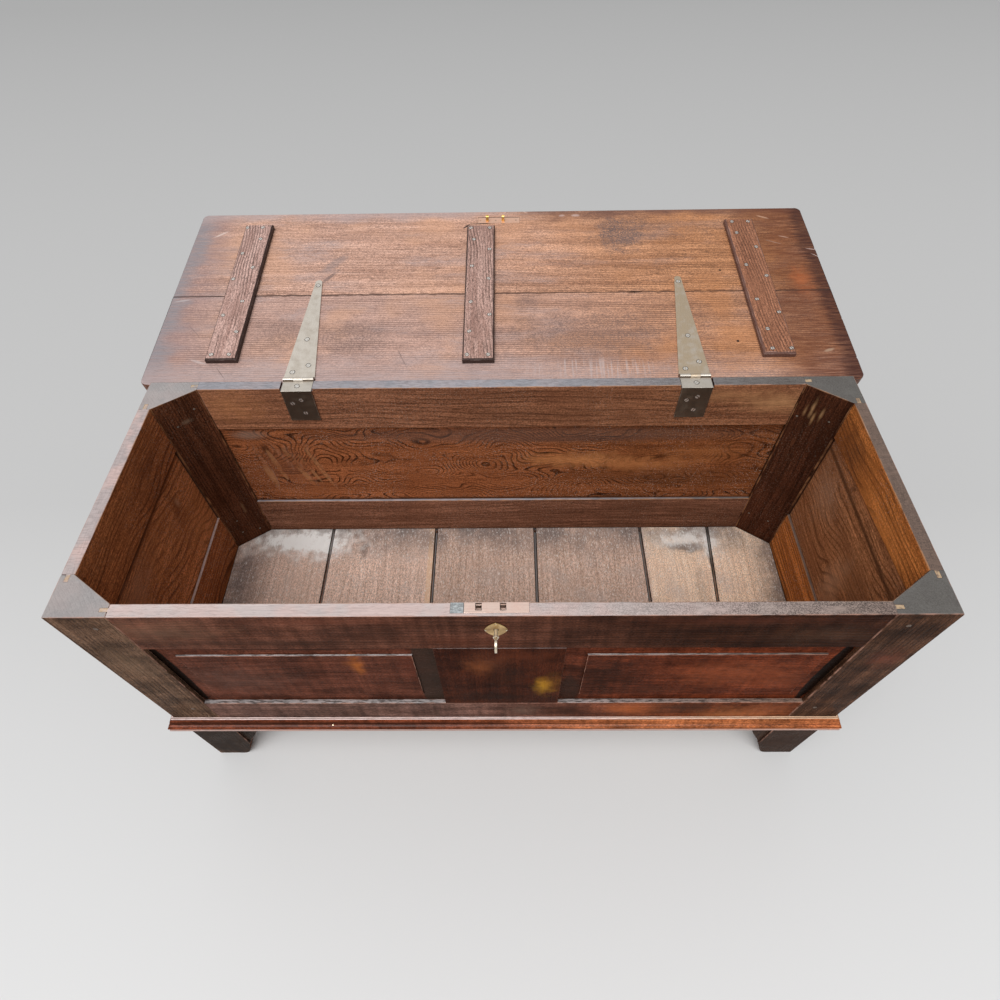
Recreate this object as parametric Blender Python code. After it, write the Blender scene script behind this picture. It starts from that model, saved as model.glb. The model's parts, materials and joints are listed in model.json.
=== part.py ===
"""Joined oak coffer, lid thrown back: posts, rails and fielded panels, strap hinges and a link lock.

x runs across the front from the middle, y from the front face of the posts to the back, z up from the
floor. On each side of the carcass, pieces are laid out as along, inward and up: along the side, inward
from its outer face, and up from the floor.
"""

import math

import bmesh
import bpy
from mathutils import Matrix, Vector

for leftover in list(bpy.data.objects):
    bpy.data.objects.remove(leftover, do_unlink=True)

# Carcass
CARCASS_WIDTH = 1.220
CARCASS_DEPTH = 0.4506
CARCASS_HEIGHT = 0.655
FIT = 0.0003
OVERCUT = 0.004
WELD = 1e-6
FLAT_ANGLE = 1e-3
CURVE_ANGLE = math.radians(35)
ARC_STEP = 15
CURVE_STEPS = 10
ROUND_SIDES = 16

# Corner posts and feet
POST_FACE = 0.0865
POST_SIDE = 0.066
RAIL_THICKNESS = 0.0205
FOOT_FLARE_HEIGHT = 0.068
FOOT_BENDS = ((0.58, 0), (0.83, 0), (0.85, 0.53), (1, 1))
BRACKET_REACH = 0.046
BRACKET_THICKNESS = 0.0145
BRACKET_SETBACK = 0.004
BRACKET_BENDS = ((0, 0), (0.48, 0.33), (0.91, 0.55), (1, 1))

# Rails: heights of the top rails at the two ends of each side, and levels of the bottom rails
FRONT_TOP_RAIL = 0.105
REAR_TOP_RAIL = 0.101
LEFT_TOP_RAIL = 0.107
RIGHT_TOP_RAIL_FRONT = 0.063
RIGHT_TOP_RAIL_REAR = 0.085
BOTTOM_RAIL_BASE = 0.200
FRONT_SILL = 0.314
REAR_SILL = 0.327
END_SILL = 0.333
MUNTIN_WIDTH = 0.195

# Joinery
GROOVE_SETBACK = 0.008
GROOVE_WIDTH = 0.0065
GROOVE_DEPTH = 0.012
TENON_LENGTH = 0.045
HAUNCH_HEIGHT = 0.022
TENON_FOOT = 0.012
MUNTIN_TENON = 0.025
PEG_RADIUS = 0.0035
PEG_LENGTH = 0.030
PEG_INSET = 0.030
PEG_PROUD = 0.0006
TOP_PEG_DROP = 0.034
BOTTOM_PEG_DROP = 0.026

# Panels
PANEL_PLAY = 0.002
FIELD_MARGIN = 0.034
FIELD_BEVEL_RISE = 0.0022
FIELD_STEP = 0.0028
FIELD_STEP_RUN = 0.0008

# Floor boards, with each joint's distance from the left or right end, at the front and at the back
FLOOR_TOP = 0.223
FLOOR_THICKNESS = 0.012
FLOOR_TONGUE = 0.007
FLOOR_HOUSING = 0.007
FLOOR_GAP = 0.0035
LEFT_FLOOR_JOINTS = ((0.229, 0.229), (0.4615, 0.4615))
RIGHT_FLOOR_JOINTS = ((0.537, 0.537), (0.302, 0.302), (0.176, 0.151))

# Base moulding
MOULDING_BASE = 0.205
MOULDING_HEIGHT = 0.036
MOULDING_PROJECTION = 0.015
MOULDING_FILLET = 0.005
MOULDING_SHELF = 0.0025
MOULDING_LIP = 0.0025
BEAD_RADIUS = 0.0062
BEAD_QUIRK = 0.0015
BEAD_SINK = 0.001

# Lid
LID_WIDTH = 1.268
LID_OVERHANG = 0.017
LID_THICKNESS = 0.021
LID_JOINT = 0.238
LID_CORNER = 0.013
LID_ARRIS = 0.003
LID_OPEN = math.radians(175.05)
CLEAT_WIDTH = 0.057
CLEAT_THICKNESS = 0.011
CLEAT_BEVEL = 0.003
CLEATS = (
    ("left", (-0.5010, -0.4973), (0.033, 0.043)),
    ("centre", (-0.0388, -0.0376), (0.043, 0.037)),
    ("right", (0.4926, 0.4950), (0.033, 0.045)),
)

# Hinges
HINGES = (("left", -0.3515, -0.002), ("right", 0.3395, 0.006))
HINGE_SETBACK = 0.0053
BARREL_RADIUS = 0.0045
PIN_RADIUS = 0.0021
KNUCKLE_WIDTH = 0.0165
KNUCKLE_GAP = 0.0004
LEAF_THICKNESS = 0.0025
LEAF_SPACE = 0.0003
STRAP_BASE = 0.055
STRAP_TIP = 0.013
STRAP_LENGTH = 0.258
PLATE_WIDTH = 0.053
PLATE_DROP = 0.075
NOTCH_ROOM = 0.0008

# Lock, measured from its selvedge's middle
LOCK_X = -0.0022
LOCK_WIDTH = 0.0869
LOCK_HEIGHT = 0.058
LOCK_WALL = 0.002
LOCK_SEAT = 0.0082
SELVEDGE_SETBACK = 0.0046
SELVEDGE_THICKNESS = 0.0025
EAR_REACH = 0.011
EAR_HEIGHT = 0.030
CAP_THICKNESS = 0.0015
PRONG_OFFSETS = (-0.0241, 0.0088)
PRONG_WIDTH = 0.0055
PRONG_DEPTH = 0.008
PRONG_LENGTH = 0.012
PRONG_EYE = 0.0048
PRONG_TOE = 0.0018
PRONG_SETBACK = 0.0014
PRONG_ROOM = 0.0015
HASP_WIDTH = 0.0875
HASP_DEPTH = 0.0172
HASP_THICKNESS = 0.0022
BOLT_THICKNESS = 0.003
BOLT_TRAVEL = 0.009
BOLT_BAR_HEIGHT = 0.0135
BOLT_CLEARANCE = 0.0015
FINGER_HEIGHT = 0.0032
FINGER_STEM = 0.0048
TALON_DEPTH = 0.005
SPRING_THICKNESS = 0.0008
PATCH_WIDTH = 0.018
PATCH_DEPTH = 0.010

# Key and escutcheon
KEY_X = -0.0036
KEY_DROP = 0.0395
KEY_TURN = math.pi
SHANK_RADIUS = 0.0028
SHANK_ROOM = 0.0007
BIT_REACH = 0.0148
BIT_THICKNESS = 0.003
BIT_ROOM = 0.0006
WARD_DEPTH = 0.0067
KEY_REACH = 0.034
BOW_LENGTH = 0.021
BOW_HEIGHT = 0.024
BOW_RIM = 0.004
BOW_THICKNESS = 0.0032
COLLAR_RADIUS = 0.0042
COLLAR_WIDTH = 0.0025
ESCUTCHEON_WIDTH = 0.032
ESCUTCHEON_HEIGHT = 0.040
ESCUTCHEON_THICKNESS = 0.0012
ESCUTCHEON_BOW = 1.45

# Places worked out from the sizes above
HALF_WIDTH = CARCASS_WIDTH / 2
OPENING = HALF_WIDTH - POST_FACE
GROOVE = (GROOVE_SETBACK, GROOVE_SETBACK + GROOVE_WIDTH)
TONGUE = (GROOVE[0] + FIT, GROOVE[1] - FIT)
LID_UNDERSIDE = CARCASS_HEIGHT + FIT
STRAP_TOP = LID_UNDERSIDE - FIT
AXIS_Y = CARCASS_DEPTH + HINGE_SETBACK
AXIS_Z = STRAP_TOP - LEAF_THICKNESS - LEAF_SPACE / 2
AXIS_DROP = LID_UNDERSIDE - AXIS_Z
LID_TILT = math.pi - LID_OPEN
LID_TAIL = (HINGE_SETBACK - FIT + AXIS_DROP * math.sin(LID_TILT)) / math.cos(LID_TILT)
LID_BACK = AXIS_Y + LID_TAIL
LID_REACH = AXIS_Y + LID_OVERHANG
LID_EDGE = AXIS_DROP + LID_THICKNESS - LID_ARRIS
BACK_LIMIT = AXIS_Y + LID_REACH * math.cos(LID_TILT) + LID_EDGE * math.sin(LID_TILT)
MIDDLE_Y = (BACK_LIMIT - KEY_REACH) / 2
KEY_Z = CARCASS_HEIGHT - KEY_DROP
LOCK_MIDDLE = (SELVEDGE_SETBACK + RAIL_THICKNESS) / 2 + PRONG_SETBACK
PRONGS = tuple(LOCK_X + offset for offset in PRONG_OFFSETS)
PRONG_TIP = LID_UNDERSIDE - PRONG_LENGTH
FINGER_LEVEL = PRONG_TIP + PRONG_TOE + PRONG_EYE / 2
BAR_TOP = PRONG_TIP - BOLT_CLEARANCE
TALON_LEVEL = BAR_TOP - BOLT_BAR_HEIGHT
FLOOR_BASE = FLOOR_TOP - FLOOR_THICKNESS
POST_SLOPE = (POST_SIDE - RAIL_THICKNESS) / (POST_FACE - RAIL_THICKNESS)

# Top rail heights at the two ends of each side, and the top of its bottom rail
TOP_RAILS = {
    "front": (FRONT_TOP_RAIL, FRONT_TOP_RAIL),
    "rear": (REAR_TOP_RAIL, REAR_TOP_RAIL),
    "left": (LEFT_TOP_RAIL, LEFT_TOP_RAIL),
    "right": (RIGHT_TOP_RAIL_FRONT, RIGHT_TOP_RAIL_REAR),
}
SILLS = {"front": FRONT_SILL, "rear": REAR_SILL, "left": END_SILL, "right": END_SILL}


# Collections, pivots and finishes

def collection(name):
    made = bpy.data.collections.new(name)
    bpy.context.scene.collection.children.link(made)
    return made


PARTS = collection("coffer")
CUTTERS = collection("cutters")


def pivot(name, place, parent=None):
    """Empty that carries the pieces which move together, at a place in the closed coffer."""
    made = bpy.data.objects.new(name, None)
    made["origin"] = place
    made.location = Vector(place) - Vector(parent["origin"] if parent else (0, 0, 0))
    made.parent = parent
    PARTS.objects.link(made)
    return made


CARCASS = pivot("carcass", (0, 0, 0))
CARCASS.location.y = -MIDDLE_Y
LID = pivot("lid", (0, AXIS_Y, AXIS_Z), CARCASS)
LID.rotation_euler.x = -LID_OPEN
KEY = pivot("key_pivot", (KEY_X, 0, KEY_Z), CARCASS)
BOLT = pivot("bolt_slide", (LOCK_X, LOCK_MIDDLE, FINGER_LEVEL), CARCASS)


def finish(name, colour, roughness, metallic=0.0):
    made = bpy.data.materials.new(name)
    made.use_nodes = True
    shader = made.node_tree.nodes["Principled BSDF"]
    shader.inputs["Base Color"].default_value = (*colour, 1.0)
    shader.inputs["Roughness"].default_value = roughness
    shader.inputs["Metallic"].default_value = metallic
    return made


FRAME_OAK = finish("varnished_frame_oak", (0.055, 0.022, 0.013), 0.35)
PANEL_OAK = finish("red_panel_oak", (0.085, 0.022, 0.012), 0.32)
MOULDING_OAK = finish("moulding_oak", (0.130, 0.035, 0.015), 0.30)
LID_OAK = finish("lid_oak", (0.160, 0.060, 0.028), 0.45)
CLEAT_OAK = finish("cleat_oak", (0.090, 0.035, 0.020), 0.50)
FLOOR_OAK = finish("dry_floor_oak", (0.230, 0.140, 0.085), 0.75)
PEG_OAK = finish("pale_peg_oak", (0.350, 0.230, 0.130), 0.60)
PATCH_WOOD = finish("grey_patch_wood", (0.300, 0.310, 0.300), 0.60)
HINGE_STEEL = finish("hinge_steel", (0.330, 0.290, 0.230), 0.42, 1.0)
LOCK_STEEL = finish("lock_steel", (0.240, 0.230, 0.220), 0.50, 1.0)
COPPER_BRASS = finish("copper_brass", (0.620, 0.350, 0.240), 0.35, 1.0)
BRASS = finish("brass", (0.560, 0.370, 0.130), 0.35, 1.0)
KEY_STEEL = finish("key_steel", (0.520, 0.460, 0.370), 0.30, 1.0)


# Mesh makers

def close_up(mesh):
    """Weld a mesh's caps, merge its flat triangles, turn every face outwards and shade its curves smooth."""
    bm = bmesh.new()
    bm.from_mesh(mesh)
    bmesh.ops.remove_doubles(bm, verts=bm.verts, dist=WELD)
    bmesh.ops.dissolve_degenerate(bm, dist=WELD, edges=bm.edges)
    bmesh.ops.dissolve_limit(bm, angle_limit=FLAT_ANGLE, verts=bm.verts, edges=bm.edges)
    bmesh.ops.recalc_face_normals(bm, faces=bm.faces)
    for edge in bm.edges:
        if FLAT_ANGLE < edge.calc_face_angle(0) < CURVE_ANGLE:
            for face in edge.link_faces:
                face.smooth = True
    bm.to_mesh(mesh)
    bm.free()
    return mesh


def block(x, y, z):
    """Box between the pairs of limits x, y and z."""
    middle = Vector(sum(pair) / 2 for pair in (x, y, z))
    size = Vector(pair[1] - pair[0] for pair in (x, y, z))
    bm = bmesh.new()
    bmesh.ops.create_cube(bm, matrix=Matrix.Translation(middle) @ Matrix.Diagonal((*size, 1)))
    mesh = bpy.data.meshes.new("block")
    bm.to_mesh(mesh)
    bm.free()
    return mesh


def rod(start, end, radius):
    """Round bar between two points."""
    start, end = Vector(start), Vector(end)
    turn = (end - start).to_track_quat("Z", "Y").to_matrix().to_4x4()
    bm = bmesh.new()
    bmesh.ops.create_cone(
        bm,
        cap_ends=True,
        segments=ROUND_SIDES,
        radius1=radius,
        radius2=radius,
        depth=(end - start).length,
        matrix=Matrix.Translation((start + end) / 2) @ turn,
    )
    mesh = bpy.data.meshes.new("rod")
    bm.to_mesh(mesh)
    bm.free()
    return close_up(mesh)


def plate(outlines, limits, first, second, through):
    """Flat shape with its outline, and any holes, drawn on axes first and second, between two limits."""
    curve = bpy.data.curves.new("outline", "CURVE")
    curve.dimensions = "2D"
    curve.fill_mode = "BOTH"
    curve.extrude = (limits[1] - limits[0]) / 2
    for outline in outlines:
        spline = curve.splines.new("POLY")
        spline.points.add(len(outline) - 1)
        for point, (a, b) in zip(spline.points, outline):
            point.co = (a, b, 0, 1)
        spline.use_cyclic_u = True
    shape = bpy.data.objects.new("outline", curve)
    mesh = bpy.data.meshes.new_from_object(shape)
    bpy.data.objects.remove(shape)
    bpy.data.curves.remove(curve)
    axes = Matrix((first, second, through)).transposed().to_4x4()
    middle = Vector(through) * (limits[0] + limits[1]) / 2
    mesh.transform(Matrix.Translation(middle) @ axes)
    return close_up(mesh)


X, Y, Z = (1, 0, 0), (0, 1, 0), (0, 0, 1)


def plan_plate(outline, z):
    return plate([outline], z, X, Y, Z)


def front_plate(outlines, y):
    return plate(outlines, y, X, Z, Y)


def end_plate(outlines, x):
    return plate(outlines, x, Y, Z, X)


def arc(centre, radius, start, end):
    """Points round an arc, from the start angle to the end angle in degrees."""
    steps = round(abs(end - start) / ARC_STEP)
    angles = (math.radians(start + (end - start) * step / steps) for step in range(steps + 1))
    return [(centre[0] + radius * math.cos(a), centre[1] + radius * math.sin(a)) for a in angles]


def circle(centre, radius):
    return arc(centre, radius, 0, 360)[:-1]


def bezier(points):
    """Points along a cubic curve with four control points."""
    a, b, c, d = (Vector(point) for point in points)
    spots = []
    for step in range(CURVE_STEPS + 1):
        t = step / CURVE_STEPS
        spots.append(a * (1 - t) ** 3 + b * 3 * t * (1 - t) ** 2 + c * 3 * t * t * (1 - t) + d * t ** 3)
    return [tuple(spot) for spot in spots]


# Sides of the carcass

SIDE_AXES = {
    "front": Matrix(((1, 0, 0, 0), (0, 1, 0, 0), (0, 0, 1, 0), (0, 0, 0, 1))),
    "rear": Matrix(((1, 0, 0, 0), (0, -1, 0, CARCASS_DEPTH), (0, 0, 1, 0), (0, 0, 0, 1))),
    "left": Matrix(((0, 1, 0, -HALF_WIDTH), (1, 0, 0, 0), (0, 0, 1, 0), (0, 0, 0, 1))),
    "right": Matrix(((0, -1, 0, HALF_WIDTH), (1, 0, 0, 0), (0, 0, 1, 0), (0, 0, 0, 1))),
}


def span(side):
    """Where a side's rails run between the posts."""
    if side in ("front", "rear"):
        return -OPENING, OPENING
    return POST_SIDE, CARCASS_DEPTH - POST_SIDE


def head(side, along):
    """Level of a side's top rail's lower edge."""
    start, end = span(side)
    low, high = TOP_RAILS[side]
    return CARCASS_HEIGHT - low - (high - low) * (along - start) / (end - start)


def on_side(side, mesh):
    mesh.transform(SIDE_AXES[side])
    return close_up(mesh)


def side_plate(side, outline, inward):
    return on_side(side, front_plate([outline], inward))


def side_rod(side, along, up, inward, radius):
    return on_side(side, rod((along, inward[0], up), (along, inward[1], up), radius))


# Pieces and cuts

def part(name, mesh, material, body=CARCASS):
    mesh.name = name
    mesh.materials.append(material)
    mesh.transform(Matrix.Translation(-Vector(body["origin"])))
    made = bpy.data.objects.new(name, mesh)
    made.parent = body
    PARTS.objects.link(made)
    return made


def work(piece, mesh, operation):
    """Cut a shape out of a piece, or join one to it."""
    tool = bpy.data.objects.new(f"{piece.name}_{operation.lower()}_{len(piece.modifiers)}", mesh)
    tool.parent = piece.parent
    mesh.transform(Matrix.Translation(-Vector(piece.parent["origin"])))
    tool.hide_render = True
    tool.display_type = "WIRE"
    CUTTERS.objects.link(tool)
    boolean = piece.modifiers.new(tool.name, "BOOLEAN")
    boolean.operation = operation
    boolean.object = tool


def cut(piece, mesh):
    work(piece, mesh, "DIFFERENCE")


def join(piece, mesh):
    work(piece, mesh, "UNION")


def soften(mesh, width, chosen, segments=2):
    """Round the edges of a mesh that the chosen test picks by their two ends."""
    bm = bmesh.new()
    bm.from_mesh(mesh)
    edges = [edge for edge in bm.edges if chosen(*(vert.co for vert in edge.verts))]
    bmesh.ops.bevel(bm, geom=edges, offset=width, segments=segments, profile=0.5, affect="EDGES")
    bm.to_mesh(mesh)
    bm.free()
    return mesh


# Joints between rails and posts

def tenon_levels(side, end):
    """Levels of the bottom rail's tenon and of the top rail's tenon at one end of a side."""
    bottom = (BOTTOM_RAIL_BASE + TENON_FOOT, SILLS[side] - GROOVE_DEPTH)
    top = (head(side, span(side)[end]) + GROOVE_DEPTH, CARCASS_HEIGHT - HAUNCH_HEIGHT)
    return bottom, top


def outwards(side, end, outline):
    """Outline measured out of a rail's end and up, laid on that end of its side."""
    start = span(side)[end]
    way = 1 if end else -1
    return [(start + way * out, up) for out, up in outline]


def post_pocket(side, end):
    """Panel groove of a post with the two mortises that lead off it."""
    bottom, top = tenon_levels(side, end)
    crown = CARCASS_HEIGHT + OVERCUT
    outline = [(-OVERCUT, bottom[0]), (TENON_LENGTH, bottom[0]), (TENON_LENGTH, bottom[1])]
    outline += [(GROOVE_DEPTH, bottom[1]), (GROOVE_DEPTH, top[0]), (TENON_LENGTH, top[0])]
    outline += [(TENON_LENGTH, top[1]), (GROOVE_DEPTH, top[1]), (GROOVE_DEPTH, crown), (-OVERCUT, crown)]
    return side_plate(side, outwards(side, end, outline), GROOVE)


def bottom_tenon(side, end):
    low, high = tenon_levels(side, end)[0]
    low, high = low + FIT, high - FIT
    length = TENON_LENGTH - FIT
    outline = [(-GROOVE_DEPTH, low), (length, low), (length, high), (-GROOVE_DEPTH, high)]
    return side_plate(side, outwards(side, end, outline), TONGUE)


def top_tenon(side, end):
    """Tenon with the haunch that fills the panel groove at the top of the post."""
    low, high = tenon_levels(side, end)[1]
    length = TENON_LENGTH - FIT
    haunch = GROOVE_DEPTH - FIT
    outline = [(-GROOVE_DEPTH, low + FIT), (length, low + FIT), (length, high - FIT), (haunch, high - FIT)]
    outline += [(haunch, CARCASS_HEIGHT), (-GROOVE_DEPTH, CARCASS_HEIGHT)]
    return side_plate(side, outwards(side, end, outline), TONGUE)


def peg_spots(side):
    """Along and up of each draw peg on a side: its end, its rail, and its place."""
    for end, way in ((0, -1), (1, 1)):
        along = way * (OPENING + PEG_INSET)
        yield end, "top", along, CARCASS_HEIGHT - TOP_PEG_DROP
        yield end, "bottom", along, SILLS[side] - BOTTOM_PEG_DROP


def peg_hole(side, along, up):
    return side_rod(side, along, up, (-OVERCUT, PEG_LENGTH + FIT), PEG_RADIUS + FIT)


# Corner posts

def foot_waste(way):
    """Wood cut away inside each foot, from its rounded toe up to the flare under the rail."""
    curve = bezier([(a * POST_FACE, b * FOOT_FLARE_HEIGHT) for a, b in FOOT_BENDS])
    outer = POST_FACE + OVERCUT
    outline = [(curve[0][0], -OVERCUT), *curve, (outer, FOOT_FLARE_HEIGHT), (outer, -OVERCUT)]
    through = (-OVERCUT, CARCASS_DEPTH + OVERCUT)
    return front_plate([[(way * (HALF_WIDTH - a), up) for a, up in outline]], through)


def corner_post(side, end):
    face = "left" if end == 0 else "right"
    way = -1 if end == 0 else 1
    section = [(0, 0), (POST_FACE, 0), (POST_FACE, RAIL_THICKNESS)]
    section += [(RAIL_THICKNESS, POST_SIDE), (0, POST_SIDE)]
    mesh = plan_plate([(way * (HALF_WIDTH - a), b) for a, b in section], (0, CARCASS_HEIGHT))
    piece = part(f"post_{side}_{face}", on_side(side, mesh), FRAME_OAK)
    cut(piece, foot_waste(way))
    cut(piece, post_pocket(side, end))
    cut(piece, post_pocket(face, 0 if side == "front" else 1))
    for peg_end, rail, along, up in peg_spots(side):
        if peg_end == end:
            cut(piece, peg_hole(side, along, up))
            mesh = side_rod(side, along, up, (-PEG_PROUD, PEG_LENGTH), PEG_RADIUS)
            part(f"peg_{side}_{face}_{rail}", mesh, PEG_OAK)


for post_side in ("front", "rear"):
    for post_end in (0, 1):
        corner_post(post_side, post_end)


# Rails and muntin

def rail_groove(side, edge, way):
    """Groove along a rail's edge at a level given along it, with the muntin's mortise on the front."""
    start, end = span(side)
    lip, deep = -way * OVERCUT, way * GROOVE_DEPTH
    outline = [(start, edge(start) + lip), (end, edge(end) + lip), (end, edge(end) + deep)]
    if side == "front":
        half = MUNTIN_WIDTH / 2 - GROOVE_DEPTH
        socket = way * MUNTIN_TENON
        for along, sink in ((half, deep), (half, socket), (-half, socket), (-half, deep)):
            outline.append((along, edge(along) + sink))
    outline.append((start, edge(start) + deep))
    return side_plate(side, outline, GROOVE)


def top_rail(side):
    start, end = span(side)
    low = [(start + FIT, head(side, start)), (end - FIT, head(side, end))]
    outline = low + [(end - FIT, CARCASS_HEIGHT), (start + FIT, CARCASS_HEIGHT)]
    piece = part(f"{side}_top_rail", side_plate(side, outline, (0, RAIL_THICKNESS)), FRAME_OAK)
    join(piece, top_tenon(side, 0))
    join(piece, top_tenon(side, 1))
    cut(piece, rail_groove(side, lambda along: head(side, along), 1))
    return piece


def bottom_rail(side):
    start, end = span(side)
    sill = SILLS[side]
    low = [(start + FIT, BOTTOM_RAIL_BASE), (end - FIT, BOTTOM_RAIL_BASE)]
    outline = low + [(end - FIT, sill), (start + FIT, sill)]
    piece = part(f"{side}_bottom_rail", side_plate(side, outline, (0, RAIL_THICKNESS)), FRAME_OAK)
    join(piece, bottom_tenon(side, 0))
    join(piece, bottom_tenon(side, 1))
    cut(piece, rail_groove(side, lambda along: sill, -1))
    if side in ("front", "rear"):
        low, high = FLOOR_BASE - FIT, FLOOR_BASE + FLOOR_TONGUE + FIT
        housing = [(start - FIT, low), (end + FIT, low), (end + FIT, high), (start - FIT, high)]
        cut(piece, side_plate(side, housing, (RAIL_THICKNESS - FLOOR_HOUSING, RAIL_THICKNESS + OVERCUT)))
    return piece


RAILS = {}
for rail_side in TOP_RAILS:
    RAILS[rail_side, "top"] = top_rail(rail_side)
    RAILS[rail_side, "bottom"] = bottom_rail(rail_side)

for peg_side in ("front", "rear"):
    for _, peg_rail, peg_along, peg_up in peg_spots(peg_side):
        cut(RAILS[peg_side, peg_rail], peg_hole(peg_side, peg_along, peg_up))


def muntin():
    half = MUNTIN_WIDTH / 2
    tenon = half - GROOVE_DEPTH - FIT
    low, high = FRONT_SILL + FIT, head("front", 0) - FIT
    piece = part("front_muntin", block((-half, half), (0, RAIL_THICKNESS), (low, high)), FRAME_OAK)
    reach = MUNTIN_TENON - 2 * FIT
    join(piece, block((-tenon, tenon), TONGUE, (low - reach, high + reach)))
    for way in (-1, 1):
        edges = sorted((way * (half - GROOVE_DEPTH), way * (half + OVERCUT)))
        cut(piece, block(edges, GROOVE, (low - OVERCUT, high + OVERCUT)))


muntin()


# Panels

def field(mesh, side):
    """Raise a panel's field: a tongue left flat in the groove, a bevelled margin and a small step."""
    outward = -SIDE_AXES[side].to_3x3().col[1]
    bm = bmesh.new()
    bm.from_mesh(mesh)
    faces = [face for face in bm.faces if face.normal.angle(outward) < FLAT_ANGLE]
    land = GROOVE_DEPTH - PANEL_PLAY
    for inset, rise in ((land, 0), (FIELD_MARGIN, FIELD_BEVEL_RISE), (FIELD_STEP_RUN, FIELD_STEP)):
        bmesh.ops.inset_region(bm, faces=faces, thickness=inset, depth=rise, use_even_offset=True)
    bm.to_mesh(mesh)
    bm.free()


def panel(name, side, start, end, fielded=True):
    tongue = GROOVE_DEPTH - PANEL_PLAY
    low = SILLS[side] - tongue
    start, end = start - tongue, end + tongue
    outline = [(start, low), (end, low)]
    outline += [(end, head(side, end) + tongue), (start, head(side, start) + tongue)]
    mesh = side_plate(side, outline, TONGUE)
    if fielded:
        field(mesh, side)
    return part(name, mesh, PANEL_OAK)


panel("front_panel_left", "front", -OPENING, -MUNTIN_WIDTH / 2)
panel("front_panel_right", "front", MUNTIN_WIDTH / 2, OPENING)
panel("left_panel", "left", *span("left"))
panel("right_panel", "right", *span("right"))
panel("rear_panel", "rear", *span("rear"), fielded=False)


# Floor boards

def floor_end(way):
    """Outer edge of an end board, from front to back, cut round the posts' planed-off corners."""
    wall = HALF_WIDTH - RAIL_THICKNESS - FIT
    clear = RAIL_THICKNESS + FIT * math.hypot(1, POST_SLOPE)
    lip = RAIL_THICKNESS + FIT
    front = [(OPENING + (lip - clear) / POST_SLOPE, lip), (wall, clear + (wall - OPENING) * POST_SLOPE)]
    back = [(x, CARCASS_DEPTH - y) for x, y in reversed(front)]
    return [(way * x, y) for x, y in front + back]


def floor_seam(joint, way):
    """Edge of a board beside a joint, from front to back, half the gap away from it."""
    lip = RAIL_THICKNESS + FIT
    front, back = (along + way * FLOOR_GAP / 2 for along in joint)
    return [(front, lip), (back, CARCASS_DEPTH - lip)]


def floor_tongue(side, start, end):
    """Lower half of a board's end, carried on into the housing in the rail."""
    outline = [(start, FLOOR_BASE), (end, FLOOR_BASE)]
    outline += [(end, FLOOR_BASE + FLOOR_TONGUE), (start, FLOOR_BASE + FLOOR_TONGUE)]
    return side_plate(side, outline, (RAIL_THICKNESS - FLOOR_HOUSING + FIT, RAIL_THICKNESS + OVERCUT))


def floor():
    joints = [(front - HALF_WIDTH, back - HALF_WIDTH) for front, back in LEFT_FLOOR_JOINTS]
    joints += [(HALF_WIDTH - front, HALF_WIDTH - back) for front, back in RIGHT_FLOOR_JOINTS]
    lefts = [floor_end(-1)] + [floor_seam(joint, 1) for joint in joints]
    rights = [floor_seam(joint, -1) for joint in joints] + [floor_end(1)]
    limit = OPENING - FIT
    for number, (left, right) in enumerate(zip(lefts, rights), start=1):
        mesh = plan_plate(left + right[::-1], (FLOOR_BASE, FLOOR_TOP))
        piece = part(f"floor_board_{number}", mesh, FLOOR_OAK)
        for side, end in (("front", 0), ("rear", -1)):
            join(piece, floor_tongue(side, max(left[end][0], -limit), min(right[end][0], limit)))


floor()


# Base moulding and foot brackets

def moulding_profile():
    """Section as projection and height: bottom fillet, bead, and an ovolo under a top fillet."""
    out, top = MOULDING_PROJECTION, MOULDING_HEIGHT
    bead = (out - BEAD_RADIUS, MOULDING_FILLET + BEAD_RADIUS)
    ledge = bead[1] + BEAD_RADIUS + BEAD_QUIRK
    run, rise = bead[0] - MOULDING_SHELF, top - MOULDING_LIP - ledge
    ovolo = [(MOULDING_SHELF + run * x, ledge + rise * y) for x, y in arc((0, 0), 1, 0, 90)]
    profile = [(0, 0), (out, 0), (out, MOULDING_FILLET - BEAD_SINK)]
    profile += arc(bead, BEAD_RADIUS, -65, 80)
    profile += [(bead[0], ledge - BEAD_SINK), *ovolo, (MOULDING_SHELF, top), (0, top)]
    return profile


def mitre(mesh, corner, normal):
    """Saw a moulding's end along an upright plane, leaving half the fit on this piece."""
    bm = bmesh.new()
    bm.from_mesh(mesh)
    normal = Vector(normal).normalized()
    place = Vector(corner) - normal * FIT / 2
    everything = bm.verts[:] + bm.edges[:] + bm.faces[:]
    bmesh.ops.bisect_plane(bm, geom=everything, plane_co=place, plane_no=normal, clear_outer=True)
    bmesh.ops.holes_fill(bm, edges=[edge for edge in bm.edges if edge.is_boundary])
    bm.to_mesh(mesh)
    bm.free()


def moulding(side):
    outline = [(-FIT - out, MOULDING_BASE + up) for out, up in moulding_profile()]
    reach = MOULDING_PROJECTION + 2 * FIT
    corners = [(-1, (-HALF_WIDTH, 0, 0)), (1, (HALF_WIDTH, 0, 0))]
    if side == "front":
        mesh = end_plate([outline], (-HALF_WIDTH - reach, HALF_WIDTH + reach))
        for way, corner in corners:
            mitre(mesh, corner, (way, 1, 0))
    else:
        way, corner = corners[side == "right"]
        mesh = front_plate([[(way * (HALF_WIDTH - out), up) for out, up in outline]], (-reach, CARCASS_DEPTH))
        mitre(mesh, corner, (-way, -1, 0))
    part(f"base_moulding_{side}", close_up(mesh), MOULDING_OAK)


for moulding_side in ("front", "left", "right"):
    moulding(moulding_side)


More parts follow.
